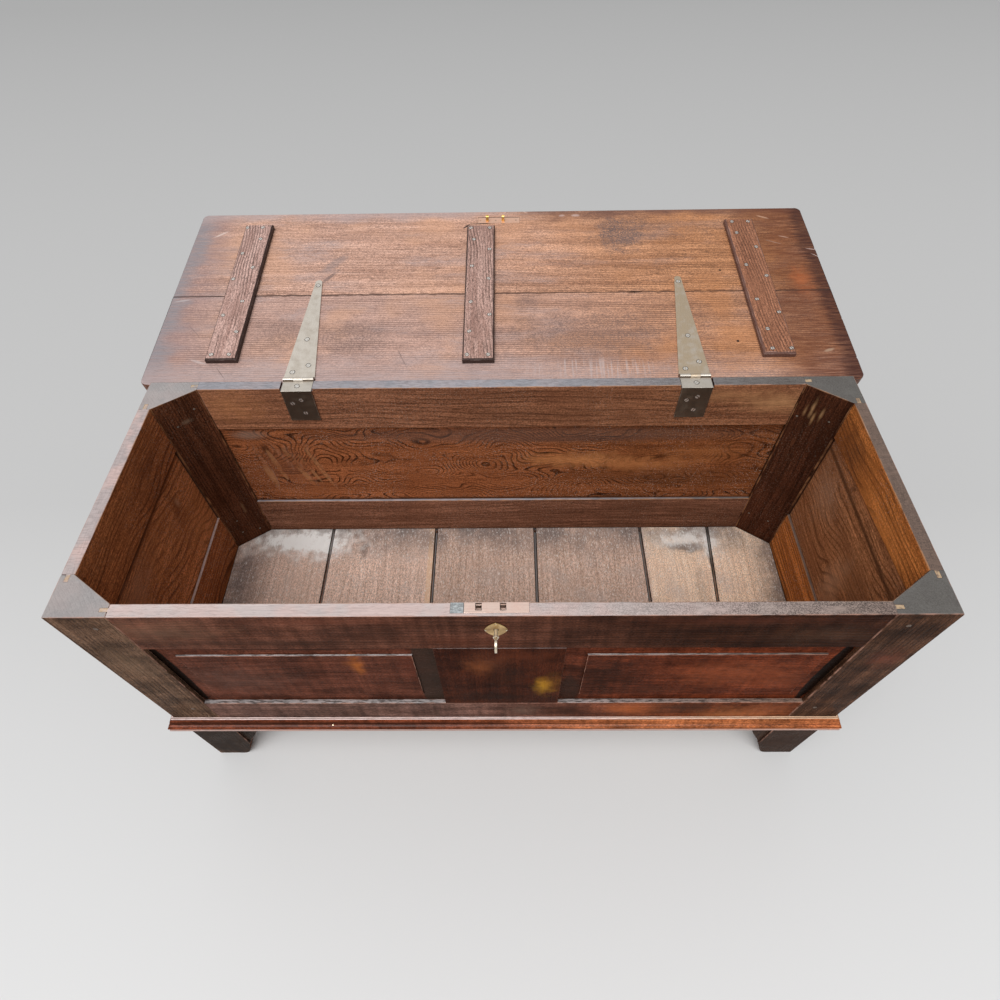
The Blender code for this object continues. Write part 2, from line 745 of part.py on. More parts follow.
def foot_bracket(face, way):
    """Small shaped bracket in the corner between a front post and the rail above."""
    top = BOTTOM_RAIL_BASE - FIT
    drop = top - FOOT_FLARE_HEIGHT
    outline = bezier([(a * BRACKET_REACH, FOOT_FLARE_HEIGHT + b * drop) for a, b in BRACKET_BENDS])
    outline.append((0, top))
    inner = OPENING - FIT
    mesh = front_plate(
        [[(way * (inner - a), up) for a, up in outline]],
        (BRACKET_SETBACK, BRACKET_SETBACK + BRACKET_THICKNESS),
    )
    part(f"foot_bracket_{face}", mesh, FRAME_OAK)


foot_bracket("left", -1)
foot_bracket("right", 1)


# Lid

def lid_board(name, front, back, joint):
    """Board across the lid with its two outer corners rounded; joint is the edge left square."""
    half = LID_WIDTH / 2
    rounding = LID_CORNER
    if joint == back:
        corners = arc((-half + rounding, front + rounding), rounding, 180, 270)
        corners += arc((half - rounding, front + rounding), rounding, 270, 360)
        outline = corners + [(half, back), (-half, back)]
    else:
        corners = arc((half - rounding, back - rounding), rounding, 0, 90)
        corners += arc((-half + rounding, back - rounding), rounding, 90, 180)
        outline = corners + [(-half, front), (half, front)]
    mesh = plan_plate(outline, (LID_UNDERSIDE, LID_UNDERSIDE + LID_THICKNESS))

    def is_arris(a, b):
        level = abs(a.z - b.z) < WELD
        on_joint = max(abs(a.y - joint), abs(b.y - joint)) < WELD
        bearing = max(abs(a.y - LID_BACK), abs(b.y - LID_BACK), a.z - LID_UNDERSIDE) < WELD
        return level and not on_joint and not bearing

    return part(name, soften(mesh, LID_ARRIS, is_arris), LID_OAK, LID)


LID_FRONT_BOARD = lid_board("lid_board_front", -LID_OVERHANG, LID_JOINT - FIT / 2, LID_JOINT - FIT / 2)
LID_REAR_BOARD = lid_board("lid_board_rear", LID_JOINT + FIT / 2, LID_BACK, LID_JOINT + FIT / 2)

def cleat(name, middles, gaps):
    """Bevelled batten across the lid's boards, given its middle and its gap at the front and the rear."""
    half = CLEAT_WIDTH / 2
    front, rear = gaps[0], AXIS_Y - gaps[1]
    outline = [(middles[0] - half, front), (middles[0] + half, front)]
    outline += [(middles[1] + half, rear), (middles[1] - half, rear)]
    face = LID_UNDERSIDE - FIT - CLEAT_THICKNESS
    mesh = plan_plate(outline, (face, face + CLEAT_THICKNESS))
    soften(mesh, CLEAT_BEVEL, lambda a, b: max(a.z, b.z) < face + WELD, segments=1)
    part(f"cleat_{name}", mesh, CLEAT_OAK, LID)


for cleat_name, cleat_middles, cleat_gaps in CLEATS:
    cleat(cleat_name, cleat_middles, cleat_gaps)


# Hinges

def hinge_strap(face, x, lean):
    """Tapered strap on the lid with the middle knuckle, its tip leaning a little to one side."""
    knuckle = KNUCKLE_WIDTH / 2
    clear = BARREL_RADIUS + KNUCKLE_GAP + FIT
    shoulder, tip = STRAP_BASE / 2, STRAP_TIP / 2
    half = [(knuckle, 0), (knuckle, clear), (shoulder, clear)]
    half += arc((0, STRAP_LENGTH - tip), tip, 0, 90)
    outline = half + [(-a, s) for a, s in reversed(half[:-1])]
    outline = [(x + a + lean * max(s - clear, 0) / STRAP_LENGTH, AXIS_Y - s) for a, s in outline]
    mesh = plan_plate(outline, (STRAP_TOP - LEAF_THICKNESS, STRAP_TOP))
    piece = part(f"hinge_strap_{face}", mesh, HINGE_STEEL, LID)
    join(piece, rod((x - knuckle, AXIS_Y, AXIS_Z), (x + knuckle, AXIS_Y, AXIS_Z), BARREL_RADIUS))
    cut(piece, pin_bore(x))


def pin_bore(x):
    return rod((x - STRAP_BASE, AXIS_Y, AXIS_Z), (x + STRAP_BASE, AXIS_Y, AXIS_Z), PIN_RADIUS + FIT)


def hinge_plate(face, x):
    """Angle plate: top leaf over the rail, inner leaf down its face, and the two outer knuckles."""
    half = PLATE_WIDTH / 2
    inner = CARCASS_DEPTH - RAIL_THICKNESS - FIT
    top = STRAP_TOP - LEAF_THICKNESS - LEAF_SPACE
    outline = [(inner - LEAF_THICKNESS, top), (inner - LEAF_THICKNESS, CARCASS_HEIGHT - PLATE_DROP)]
    outline += [(inner, CARCASS_HEIGHT - PLATE_DROP), (inner, top - LEAF_THICKNESS)]
    outline += [(AXIS_Y, top - LEAF_THICKNESS), (AXIS_Y, top)]
    piece = part(f"hinge_plate_{face}", end_plate([outline], (x - half, x + half)), HINGE_STEEL)
    room = KNUCKLE_WIDTH / 2 + KNUCKLE_GAP
    for way in (-1, 1):
        ends = [(x + way * reach, AXIS_Y, AXIS_Z) for reach in (room, half)]
        join(piece, rod(*ends, BARREL_RADIUS))
    clear = BARREL_RADIUS + KNUCKLE_GAP
    level = (AXIS_Z - clear, AXIS_Z + clear)
    cut(piece, block((x - room, x + room), (AXIS_Y - clear, AXIS_Y + clear), level))
    cut(piece, pin_bore(x))


def hinge(face, x, lean):
    hinge_strap(face, x, lean)
    hinge_plate(face, x)
    ends = [(x + way * PLATE_WIDTH / 2, AXIS_Y, AXIS_Z) for way in (-1, 1)]
    part(f"hinge_pin_{face}", rod(*ends, PIN_RADIUS), HINGE_STEEL)
    room = STRAP_BASE / 2 + NOTCH_ROOM
    depth = 2 * LEAF_THICKNESS + LEAF_SPACE + FIT
    back = (CARCASS_DEPTH - RAIL_THICKNESS - OVERCUT, CARCASS_DEPTH + OVERCUT)
    crown = (CARCASS_HEIGHT - depth, CARCASS_HEIGHT + OVERCUT)
    cut(RAILS["rear", "top"], block((x - room, x + room), back, crown))
    scoop = BARREL_RADIUS + NOTCH_ROOM
    cut(LID_REAR_BOARD, rod((x - room, AXIS_Y, AXIS_Z), (x + room, AXIS_Y, AXIS_Z), scoop))


for hinge_face, hinge_x, hinge_lean in HINGES:
    hinge(hinge_face, hinge_x, hinge_lean)


# Lock and hasp

def keyhole(grow=0.0):
    """Round eye with a slot below it, wide enough for the key's bit."""
    eye = SHANK_RADIUS + SHANK_ROOM + grow
    slot = BIT_THICKNESS / 2 + BIT_ROOM + grow
    edge = math.degrees(math.asin(slot / eye))
    bottom = -BIT_REACH - BIT_ROOM - grow
    outline = arc((0, 0), eye, -90 + edge, 270 - edge) + [(-slot, bottom), (slot, bottom)]
    return [(KEY_X + a, KEY_Z + b) for a, b in outline]


def lock_limits(inset=0.0):
    half = LOCK_WIDTH / 2 - inset
    return LOCK_X - half, LOCK_X + half


def lock_seat():
    """Pockets in the front rail for the lock, its ears, its selvedge and the wood patch beside it."""
    rail = RAILS["front", "top"]
    inner = RAIL_THICKNESS + OVERCUT
    crown = CARCASS_HEIGHT + OVERCUT
    across = lock_limits(-FIT)
    cut(rail, block(across, (LOCK_SEAT, inner), (CARCASS_HEIGHT - LOCK_HEIGHT - FIT, crown)))
    selvedge = CARCASS_HEIGHT - SELVEDGE_THICKNESS - FIT
    cut(rail, block(across, (SELVEDGE_SETBACK - FIT, LOCK_SEAT + OVERCUT), (selvedge, crown)))
    ears = (across[0] - EAR_REACH, across[1] + EAR_REACH)
    middle = CARCASS_HEIGHT - LOCK_HEIGHT / 2
    levels = (middle - EAR_HEIGHT / 2 - FIT, middle + EAR_HEIGHT / 2 + FIT)
    cut(rail, block(ears, (RAIL_THICKNESS - LOCK_WALL - FIT, inner), levels))
    patch = (across[0] - PATCH_WIDTH - FIT, across[0] + FIT)
    cut(rail, block(patch, (SELVEDGE_SETBACK - FIT, inner), (CARCASS_HEIGHT - PATCH_DEPTH - FIT, crown)))
    cut(rail, front_plate([keyhole()], (-OVERCUT, LOCK_SEAT + OVERCUT)))
    block_of_patch = block(
        (across[0] - PATCH_WIDTH, across[0] - FIT),
        (SELVEDGE_SETBACK, RAIL_THICKNESS),
        (CARCASS_HEIGHT - PATCH_DEPTH, CARCASS_HEIGHT),
    )
    part("rail_patch", block_of_patch, PATCH_WOOD)


def lock_case():
    """Shallow tray open towards the keyhole, closed above by the selvedge, with ears for its screws."""
    front = LOCK_SEAT + FIT
    bottom = CARCASS_HEIGHT - LOCK_HEIGHT
    under = CARCASS_HEIGHT - SELVEDGE_THICKNESS
    across, inside = lock_limits(), lock_limits(LOCK_WALL)
    piece = part("lock_case", block(across, (front, RAIL_THICKNESS), (bottom, CARCASS_HEIGHT)), COPPER_BRASS)
    back = RAIL_THICKNESS - LOCK_WALL
    cut(piece, block(inside, (front - OVERCUT, back), (bottom + LOCK_WALL, under)))
    nose = (SELVEDGE_SETBACK, front + LOCK_WALL)
    join(piece, block(across, nose, (under, CARCASS_HEIGHT)))
    middle = CARCASS_HEIGHT - LOCK_HEIGHT / 2
    ears = (across[0] - EAR_REACH + FIT, across[1] + EAR_REACH - FIT)
    levels = (middle - EAR_HEIGHT / 2, middle + EAR_HEIGHT / 2)
    join(piece, block(ears, (back, RAIL_THICKNESS), levels))
    runner = (LOCK_MIDDLE + BOLT_THICKNESS / 2 + FIT, back + LOCK_WALL / 2)
    tall = BOLT_BAR_HEIGHT - TALON_DEPTH
    join(piece, block(lock_limits(4 * LOCK_WALL), runner, (BAR_TOP - tall, BAR_TOP)))
    half = PRONG_WIDTH / 2 + PRONG_ROOM
    deep = PRONG_DEPTH / 2 + PRONG_ROOM
    for x in PRONGS:
        slot = (LOCK_MIDDLE - deep, LOCK_MIDDLE + deep)
        cut(piece, block((x - half, x + half), slot, (under - OVERCUT / 2, CARCASS_HEIGHT + OVERCUT)))


def lock_cap():
    """Cover over the works below the links, with the keyhole through it."""
    front = LOCK_SEAT + FIT
    across = lock_limits(LOCK_WALL + FIT)
    bottom = CARCASS_HEIGHT - LOCK_HEIGHT + LOCK_WALL + FIT
    piece = part("lock_cap", block(across, (front, front + CAP_THICKNESS), (bottom, BAR_TOP)), LOCK_STEEL)
    cut(piece, front_plate([keyhole()], (front - OVERCUT, front + CAP_THICKNESS + OVERCUT / 2)))


def lock_bolt():
    """Sliding bar with a finger for each link, and the talon that the key's bit works in."""
    thick = (LOCK_MIDDLE - BOLT_THICKNESS / 2, LOCK_MIDDLE + BOLT_THICKNESS / 2)
    start = PRONGS[0] + PRONG_WIDTH / 2 + 2 * FIT
    reach = BOLT_TRAVEL + FIT
    end = PRONGS[1] + PRONG_WIDTH / 2 + 2 * FIT + reach + FINGER_STEM
    stem_left = start + reach
    mesh = block((stem_left, end), thick, (TALON_LEVEL, BAR_TOP))
    piece = part("lock_bolt", mesh, LOCK_STEEL, BOLT)
    low, high = FINGER_LEVEL - FINGER_HEIGHT / 2, FINGER_LEVEL + FINGER_HEIGHT / 2
    for x in PRONGS:
        tip = x + PRONG_WIDTH / 2 + 2 * FIT
        stem = tip + reach
        root = BAR_TOP - LOCK_WALL
        outline = [(tip, low), (stem, low), (stem, root), (stem + FINGER_STEM, root)]
        outline += [(stem + FINGER_STEM, high), (tip, high)]
        join(piece, front_plate([outline], thick))
    throw = BOLT_TRAVEL / KEY_TURN
    enters = math.acos((TALON_LEVEL - KEY_Z) / BIT_REACH)
    last = BIT_REACH * math.sin(enters) + BIT_THICKNESS / 2 + throw * (KEY_TURN - enters)
    first = BOLT_TRAVEL - BIT_THICKNESS / 2
    notch = (KEY_X + first - BIT_ROOM, KEY_X + last + BIT_ROOM)
    wide = (thick[0] - OVERCUT, thick[1] + OVERCUT)
    cut(piece, block(notch, wide, (TALON_LEVEL - OVERCUT, TALON_LEVEL + TALON_DEPTH)))


def lock_spring():
    """Bent leaf from the case's end wall to the underside of the bolt."""
    end = lock_limits(LOCK_WALL + FIT)[1]
    tip = PRONGS[1] + PRONG_WIDTH / 2 + BOLT_TRAVEL
    top = TALON_LEVEL - FIT
    drop = BOLT_BAR_HEIGHT - TALON_DEPTH
    bends = [(end, top - drop), (end - drop / 2, top - drop), (tip + drop, top), (tip, top)]
    curve = bezier(bends)
    outline = curve + [(x, z - SPRING_THICKNESS) for x, z in reversed(curve)]
    half = BOLT_THICKNESS / 2
    part("lock_spring", front_plate([outline], (LOCK_MIDDLE - half, LOCK_MIDDLE + half)), LOCK_STEEL)


def hasp():
    """Plate let into the lid with the two eyed prongs that the bolt's fingers run through."""
    across = (LOCK_X - HASP_WIDTH / 2, LOCK_X + HASP_WIDTH / 2)
    deep = (LOCK_MIDDLE - HASP_DEPTH / 2, LOCK_MIDDLE + HASP_DEPTH / 2)
    back = LID_UNDERSIDE + HASP_THICKNESS
    piece = part("hasp_plate", block(across, deep, (LID_UNDERSIDE, back)), COPPER_BRASS, LID)
    for x in PRONGS:
        half = PRONG_DEPTH / 2
        round_end = arc((LOCK_MIDDLE, PRONG_TIP + half), half, 180, 360)
        outline = round_end + [(LOCK_MIDDLE + half, back - FIT), (LOCK_MIDDLE - half, back - FIT)]
        eye = circle((LOCK_MIDDLE, FINGER_LEVEL), PRONG_EYE / 2)
        join(piece, end_plate([outline, eye], (x - PRONG_WIDTH / 2, x + PRONG_WIDTH / 2)))
    room = [(across[0] - FIT, across[1] + FIT), (deep[0] - FIT, deep[1] + FIT)]
    cut(LID_FRONT_BOARD, block(*room, (LID_UNDERSIDE - OVERCUT, back + FIT)))


lock_seat()
lock_case()
lock_cap()
lock_bolt()
lock_spring()
hasp()


# Escutcheon and key

def escutcheon():
    """Lozenge with bowed sides over the keyhole."""
    outline = []
    for c, s in circle((0, 0), 1):
        x = math.copysign(abs(c) ** (2 / ESCUTCHEON_BOW), c)
        z = math.copysign(abs(s) ** (2 / ESCUTCHEON_BOW), s)
        outline.append((KEY_X + x * ESCUTCHEON_WIDTH / 2, KEY_Z + z * ESCUTCHEON_HEIGHT / 2))
    mesh = front_plate([outline, keyhole(FIT)], (-FIT - ESCUTCHEON_THICKNESS, -FIT))
    part("escutcheon", mesh, BRASS)


def key():
    """Key pushed home: ring bow, collared shank, and a warded bit in line with the bow."""
    neck = -KEY_REACH + BOW_LENGTH
    tip = RAIL_THICKNESS - LOCK_WALL - FIT
    shank = rod((KEY_X, neck - BOW_RIM / 2, KEY_Z), (KEY_X, tip, KEY_Z), SHANK_RADIUS)
    piece = part("key", shank, KEY_STEEL, KEY)
    join(piece, rod((KEY_X, neck, KEY_Z), (KEY_X, neck + COLLAR_WIDTH, KEY_Z), COLLAR_RADIUS))
    middle = -KEY_REACH + BOW_LENGTH / 2
    ring = []
    for rim in (0, BOW_RIM):
        long, tall = BOW_LENGTH / 2 - rim, BOW_HEIGHT / 2 - rim
        ring.append([(middle + long * c, KEY_Z + tall * s) for c, s in circle((0, 0), 1)])
    join(piece, end_plate(ring, (KEY_X - BOW_THICKNESS / 2, KEY_X + BOW_THICKNESS / 2)))
    front = LOCK_SEAT + FIT + CAP_THICKNESS + BIT_ROOM
    back = tip - BIT_ROOM
    ward = (front + back) / 2
    low, slit = -BIT_REACH, WARD_DEPTH - BIT_REACH
    half = BIT_THICKNESS / 4
    outline = [(front, 0), (front, low), (ward - half, low), (ward - half, slit)]
    outline += [(ward + half, slit), (ward + half, low), (back, low), (back, 0)]
    thick = (KEY_X - BIT_THICKNESS / 2, KEY_X + BIT_THICKNESS / 2)
    join(piece, end_plate([[(y, KEY_Z + z) for y, z in outline]], thick))


escutcheon()
key()
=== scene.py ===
# %% [markdown]
# # A joined oak coffer with its lid thrown back
# The coffer's solids are already built at their real size: posts, rails, panels, boards, hinges and a
# lock. This lesson dresses them. The oak gets worn arrises, grain, varnish and dust, the metal gets its
# tarnish, and the screws, pins and nails that hold everything are modelled and put in their places.

# %% Load the solids
import json
import math
import random
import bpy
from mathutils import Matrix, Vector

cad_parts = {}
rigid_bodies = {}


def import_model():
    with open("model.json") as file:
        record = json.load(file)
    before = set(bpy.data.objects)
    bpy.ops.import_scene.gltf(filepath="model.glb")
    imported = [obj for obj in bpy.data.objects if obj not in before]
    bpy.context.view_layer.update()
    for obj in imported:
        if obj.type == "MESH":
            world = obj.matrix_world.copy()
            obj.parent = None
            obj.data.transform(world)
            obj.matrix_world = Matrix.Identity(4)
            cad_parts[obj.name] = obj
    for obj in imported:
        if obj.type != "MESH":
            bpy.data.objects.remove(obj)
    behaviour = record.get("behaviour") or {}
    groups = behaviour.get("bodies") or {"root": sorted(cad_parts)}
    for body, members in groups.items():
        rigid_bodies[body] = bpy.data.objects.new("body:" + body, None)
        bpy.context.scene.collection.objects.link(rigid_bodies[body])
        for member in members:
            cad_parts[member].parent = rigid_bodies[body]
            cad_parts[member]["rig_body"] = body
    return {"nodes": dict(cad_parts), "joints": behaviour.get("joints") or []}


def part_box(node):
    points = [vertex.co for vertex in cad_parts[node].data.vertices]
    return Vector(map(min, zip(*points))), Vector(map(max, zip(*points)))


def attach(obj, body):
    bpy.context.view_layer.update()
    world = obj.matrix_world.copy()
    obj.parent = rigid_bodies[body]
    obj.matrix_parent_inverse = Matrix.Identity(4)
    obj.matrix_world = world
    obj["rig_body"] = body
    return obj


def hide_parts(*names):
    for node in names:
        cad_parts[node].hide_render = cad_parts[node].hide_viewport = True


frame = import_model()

from types import SimpleNamespace

import bpy
from mathutils import Matrix, Vector

for stray in [item for item in bpy.context.scene.objects if "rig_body" not in item]:
    if not stray.name.startswith("body:"):
        bpy.data.objects.remove(stray)
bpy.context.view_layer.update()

# %% [markdown]
# ## Camera
# The coffer was seen from the front and well above, close to, with a wide lens, so its near edge looks
# much wider than its far one. A lens can be guessed and then nudged, but the straight edges of a box
# allow better: where they meet at their vanishing points gives the lens and the tilt. The camera is set
# from three directions worked out so.

# %% Camera
CAMERA_PLACE = Vector((0.0154, -0.8240, 1.4272))
CAMERA_RIGHT = Vector((0.99988, 0.00300, -0.01530))
CAMERA_UP = Vector((0.00663, 0.80629, 0.59148))
CAMERA_BACK = Vector((0.01412, -0.59151, 0.80617))
CAMERA_LENS = 23.08

bpy.ops.object.camera_add()
camera = bpy.context.object
camera.matrix_world = Matrix((CAMERA_RIGHT, CAMERA_UP, CAMERA_BACK)).transposed().to_4x4()
camera.location = CAMERA_PLACE
camera.data.lens = CAMERA_LENS
bpy.context.scene.camera = camera
bpy.context.scene.view_settings.view_transform = "Standard"
print("camera", [round(v, 3) for v in camera.location], "lens", camera.data.lens)

# %% [markdown]
# ## Small helpers for shader nodes
# Materials could be drawn by hand in the shader editor, but a coffer has dozens of finishes that share
# their parts. They are built in code here, so a few helpers keep each one short: one adds a node and
# links or sets its inputs, and the others are shorthand for the nodes that come up again and again.

# %% Node helpers
def feed(tree, socket, value):
    """Link a socket to another, or set its value."""
    if isinstance(value, bpy.types.NodeSocket):
        tree.links.new(value, socket)
    elif socket.type == "RGBA":
        socket.default_value = (*value[:3], 1.0)
    else:
        socket.default_value = value


def add_node(tree, kind, inputs=None, **settings):
    made = tree.nodes.new("ShaderNode" + kind)
    for name, value in settings.items():
        setattr(made, name, value)
    for name, value in (inputs or {}).items():
        feed(tree, made.inputs[name], value)
    return made


def calc(tree, operation, *values):
    return add_node(tree, "Math", dict(enumerate(values)), operation=operation).outputs["Value"]


def times(tree, product, *factors):
    for factor in factors:
        product = calc(tree, "MULTIPLY", product, factor)
    return product


def away_from(tree, value, middle):
    return calc(tree, "ABSOLUTE", calc(tree, "SUBTRACT", value, middle))


def vector_calc(tree, operation, *values):
    return add_node(tree, "VectorMath", dict(enumerate(values)), operation=operation).outputs["Vector"]


def scale_vector(tree, vector, share):
    return add_node(tree, "VectorMath", {0: vector, "Scale": share}, operation="SCALE").outputs["Vector"]


print("helpers for sums ready in Blender", bpy.app.version_string)

# %% [markdown]
# Three nodes do most of the painting. A smooth step turns any value into a mask with a soft edge, a mix
# lays one colour over another by such a mask, and noise breaks both up. The noise takes a scale for each
# axis, in changes per metre, so that one node can make round clouds, long fibres or short pores.

# %% Painting helpers
MIX_FACTOR, MIX_FIRST, MIX_SECOND, MIX_RESULT = 0, 6, 7, 2


def step(tree, value, start, end, low=0.0, high=1.0):
    """Smooth step of a value, from low at start to high at end."""
    limits = {"Value": value, "From Min": start, "From Max": end, "To Min": low, "To Max": high}
    return add_node(tree, "MapRange", limits, interpolation_type="SMOOTHSTEP").outputs["Result"]


def mix(tree, factor, first, second, blend="MIX"):
    made = add_node(tree, "Mix", data_type="RGBA", blend_type=blend)
    for index, value in ((MIX_FACTOR, factor), (MIX_FIRST, first), (MIX_SECOND, second)):
        feed(tree, made.inputs[index], value)
    return made.outputs[MIX_RESULT]


def noise(tree, vector, scale, detail=2.0):
    """Noise whose scale may differ along the three axes."""
    place = vector_calc(tree, "MULTIPLY", vector, scale)
    return add_node(tree, "TexNoise", {"Vector": place, "Scale": 1.0, "Detail": detail}).outputs["Fac"]


def ripple(tree, vector, scale, detail):
    """Noise about zero, for bending an edge to both sides."""
    return calc(tree, "SUBTRACT", noise(tree, vector, scale, detail), 0.5)


print("helpers for paint ready: step, mix, noise and ripple")

# %% [markdown]
# An effect that several finishes share, such as grain or dust, is best a node group: it is drawn once,
# with named sockets, and placed in each material with values of its own. These two helpers make such a
# group and place it.

# %% Group helpers
SOCKETS = {"vector": "NodeSocketVector", "value": "NodeSocketFloat", "colour": "NodeSocketColor"}


def start_group(name, inputs, outputs):
    """New shader group with named sockets: its tree, what comes in and what goes out."""
    tree = bpy.data.node_groups.new(name, "ShaderNodeTree")
    for way, sockets in (("INPUT", inputs), ("OUTPUT", outputs)):
        for label, kind in sockets.items():
            tree.interface.new_socket(label, in_out=way, socket_type=SOCKETS[kind])
    return tree, tree.nodes.new("NodeGroupInput").outputs, tree.nodes.new("NodeGroupOutput").inputs


def use_group(tree, group, **inputs):
    """Place a group in a tree, with its inputs given by their names in lower case."""
    made = tree.nodes.new("ShaderNodeGroup")
    made.node_tree = group
    for name, value in inputs.items():
        feed(tree, made.inputs[name.capitalize()], value)
    return made.outputs


print("kinds of socket:", ", ".join(SOCKETS))

# %% [markdown]
# ## Oak grain
# Oak shows dark lines where the rings of the tree come through the board, finer streaks of fibre between
# them, and short open pores. Lines that only run straight look like printed plastic. Here a line's number
# is the distance across the board plus a slow noise that is long in the grain, so lines bow and close
# into the tall arches that a sawn board has. The group puts out masks, and each finish chooses its own
# colours for them.

# %% Grain group
LINE_START, LINE_DARKEST, LINE_END = 0.50, 0.90, 0.99
BOARD_SHIFT = (9.0, 3.0, 5.0)
RING_SLANT = 0.7
BOW_SCALE, FAINT_SCALE = (1.1, 6.0, 6.0), (4.0, 40.0, 40.0)
FINE_SCALE, COARSE_SCALE = (14.0, 420.0, 420.0), (2.5, 60.0, 60.0)
PORE_SCALE, MOTTLE_SCALE = (70.0, 1100.0, 1100.0), (300.0, 520.0, 520.0)


def build_oak_grain():
    tree, given, made = start_group(
        "oak_grain",
        {"Vector": "vector", "Board": "value", "Spacing": "value", "Wander": "value", "Figure": "value"},
        {"Rings": "value", "Streaks": "value", "Pores": "value", "Mottle": "value"},
    )
    place = vector_calc(tree, "ADD", given["Vector"], scale_vector(tree, BOARD_SHIFT, given["Board"]))
    axes = add_node(tree, "SeparateXYZ", {"Vector": place}).outputs
    across = calc(tree, "MULTIPLY_ADD", axes["Z"], RING_SLANT, axes["Y"])
    along = times(tree, axes["X"], given["Figure"])
    bent = add_node(tree, "CombineXYZ", {"X": along, "Y": axes["Y"], "Z": axes["Z"]}).outputs["Vector"]
    bow = times(tree, noise(tree, bent, BOW_SCALE), given["Wander"])
    line = calc(tree, "FRACT", calc(tree, "ADD", calc(tree, "DIVIDE", across, given["Spacing"]), bow))
    rise = step(tree, line, LINE_START, LINE_DARKEST)
    fall = step(tree, line, LINE_END, LINE_DARKEST)
    patchy = step(tree, noise(tree, place, FAINT_SCALE), 0.3, 0.62)
    feed(tree, made["Rings"], times(tree, rise, fall, patchy))
    fine, coarse = (noise(tree, place, scale, 3.0) for scale in (FINE_SCALE, COARSE_SCALE))
    feed(tree, made["Streaks"], step(tree, calc(tree, "ADD", fine, coarse), 0.72, 1.28))
    feed(tree, made["Pores"], step(tree, noise(tree, place, PORE_SCALE, 1.0), 0.58, 0.70))
    feed(tree, made["Mottle"], step(tree, noise(tree, place, MOTTLE_SCALE, 2.0), 0.25, 0.75))
    return tree


OAK_GRAIN = build_oak_grain()
print("group", OAK_GRAIN.name, "with", len(OAK_GRAIN.nodes), "nodes")

# %% [markdown]
# ## Tone and patches
# Oak tone turns the grain's masks into colour, and its mottle keeps even a plain stretch of wood from
# looking painted. A patch is a soft cloud that comes and goes over the whole surface, as old polish does.
# Both could be copied into every material, but as groups they are drawn once and each finish only sets
# their values.

# %% Tone and patch groups
MOTTLE_LOW, MOTTLE_HIGH = 0.68, 1.34
LINE_SHARE, PORE_SHARE = 0.60, 0.60


def build_oak_tone():
    tree, given, made = start_group(
        "oak_tone",
        {
            "Rings": "value", "Streaks": "value", "Pores": "value", "Mottle": "value",
            "Pale": "colour", "Deep": "colour", "Line": "colour",
        },
        {"Color": "colour"},
    )
    colour = mix(tree, given["Streaks"], given["Pale"], given["Deep"])
    colour = mix(tree, times(tree, given["Rings"], LINE_SHARE), colour, given["Line"])
    colour = mix(tree, times(tree, given["Pores"], PORE_SHARE), colour, given["Line"])
    share = step(tree, given["Mottle"], 0.0, 1.0, MOTTLE_LOW, MOTTLE_HIGH)
    feed(tree, made["Color"], scale_vector(tree, colour, share))
    return tree


def build_patch():
    tree, given, made = start_group(
        "polish_patch",
        {"Vector": "vector", "Size": "value", "Share": "value", "Soft": "value"},
        {"Mask": "value"},
    )
    place = scale_vector(tree, given["Vector"], calc(tree, "DIVIDE", 1.0, given["Size"]))
    cloud = add_node(tree, "TexNoise", {"Vector": place, "Scale": 1.0, "Detail": 4.0}).outputs["Fac"]
    edge = calc(tree, "SUBTRACT", 1.0, given["Share"])
    low, high = (calc(tree, way, edge, given["Soft"]) for way in ("SUBTRACT", "ADD"))
    feed(tree, made["Mask"], step(tree, cloud, low, high))
    return tree


OAK_TONE = build_oak_tone()
PATCH = build_patch()
print("groups:", OAK_TONE.name, PATCH.name)

# %% [markdown]
# ## Spots, worn edges and dust
# A spot is one ragged mark at a known place, which can be turned. Worn edges show where an arris, painted
# on the mesh when it was bevelled, has lost its polish. Dust lies on what faces up, thick in one place
# and thin in the next.

# %% Spot, wear and dust groups
TORN_SCALE, WEAR_SCALE = (55.0, 55.0, 55.0), (38.0, 38.0, 38.0)
DRIFT_SCALE, GRIT_SCALE = (14.0, 14.0, 14.0), (420.0, 420.0, 420.0)


def build_spot():
    tree, given, made = start_group(
        "ragged_spot",
        {
            "Vector": "vector", "Centre": "vector", "Reach": "vector",
            "Turn": "value", "Ragged": "value", "Core": "value",
        },
        {"Mask": "value"},
    )
    away = vector_calc(tree, "SUBTRACT", given["Vector"], given["Centre"])
    turned = add_node(tree, "VectorRotate", {"Vector": away, "Angle": given["Turn"]}, rotation_type="Z_AXIS")
    share = vector_calc(tree, "DIVIDE", turned.outputs["Vector"], given["Reach"])
    length = add_node(tree, "VectorMath", {0: share}, operation="LENGTH").outputs["Value"]
    torn = ripple(tree, given["Vector"], TORN_SCALE, 5.0)
    reached = calc(tree, "MULTIPLY_ADD", torn, given["Ragged"], length)
    feed(tree, made["Mask"], step(tree, reached, 1.0, given["Core"]))
    return tree


def build_arris_wear():
    tree, given, made = start_group(
        "arris_wear", {"Arris": "value", "Vector": "vector", "Amount": "value"}, {"Mask": "value"}
    )
    bare = calc(tree, "ADD", noise(tree, given["Vector"], WEAR_SCALE, 4.0), given["Amount"])
    feed(tree, made["Mask"], times(tree, given["Arris"], step(tree, bare, 0.85, 1.15)))
    return tree


def build_dust():
    tree, given, made = start_group(
        "lying_dust", {"Vector": "vector", "Up": "value", "Amount": "value"}, {"Mask": "value"}
    )
    drift = calc(tree, "ADD", noise(tree, given["Vector"], DRIFT_SCALE, 3.0), given["Amount"])
    grit = step(tree, noise(tree, given["Vector"], GRIT_SCALE, 2.0), 0.35, 0.65, 0.35, 1.0)
    feed(tree, made["Mask"], times(tree, step(tree, drift, 0.75, 1.25), given["Up"], grit))
    return tree


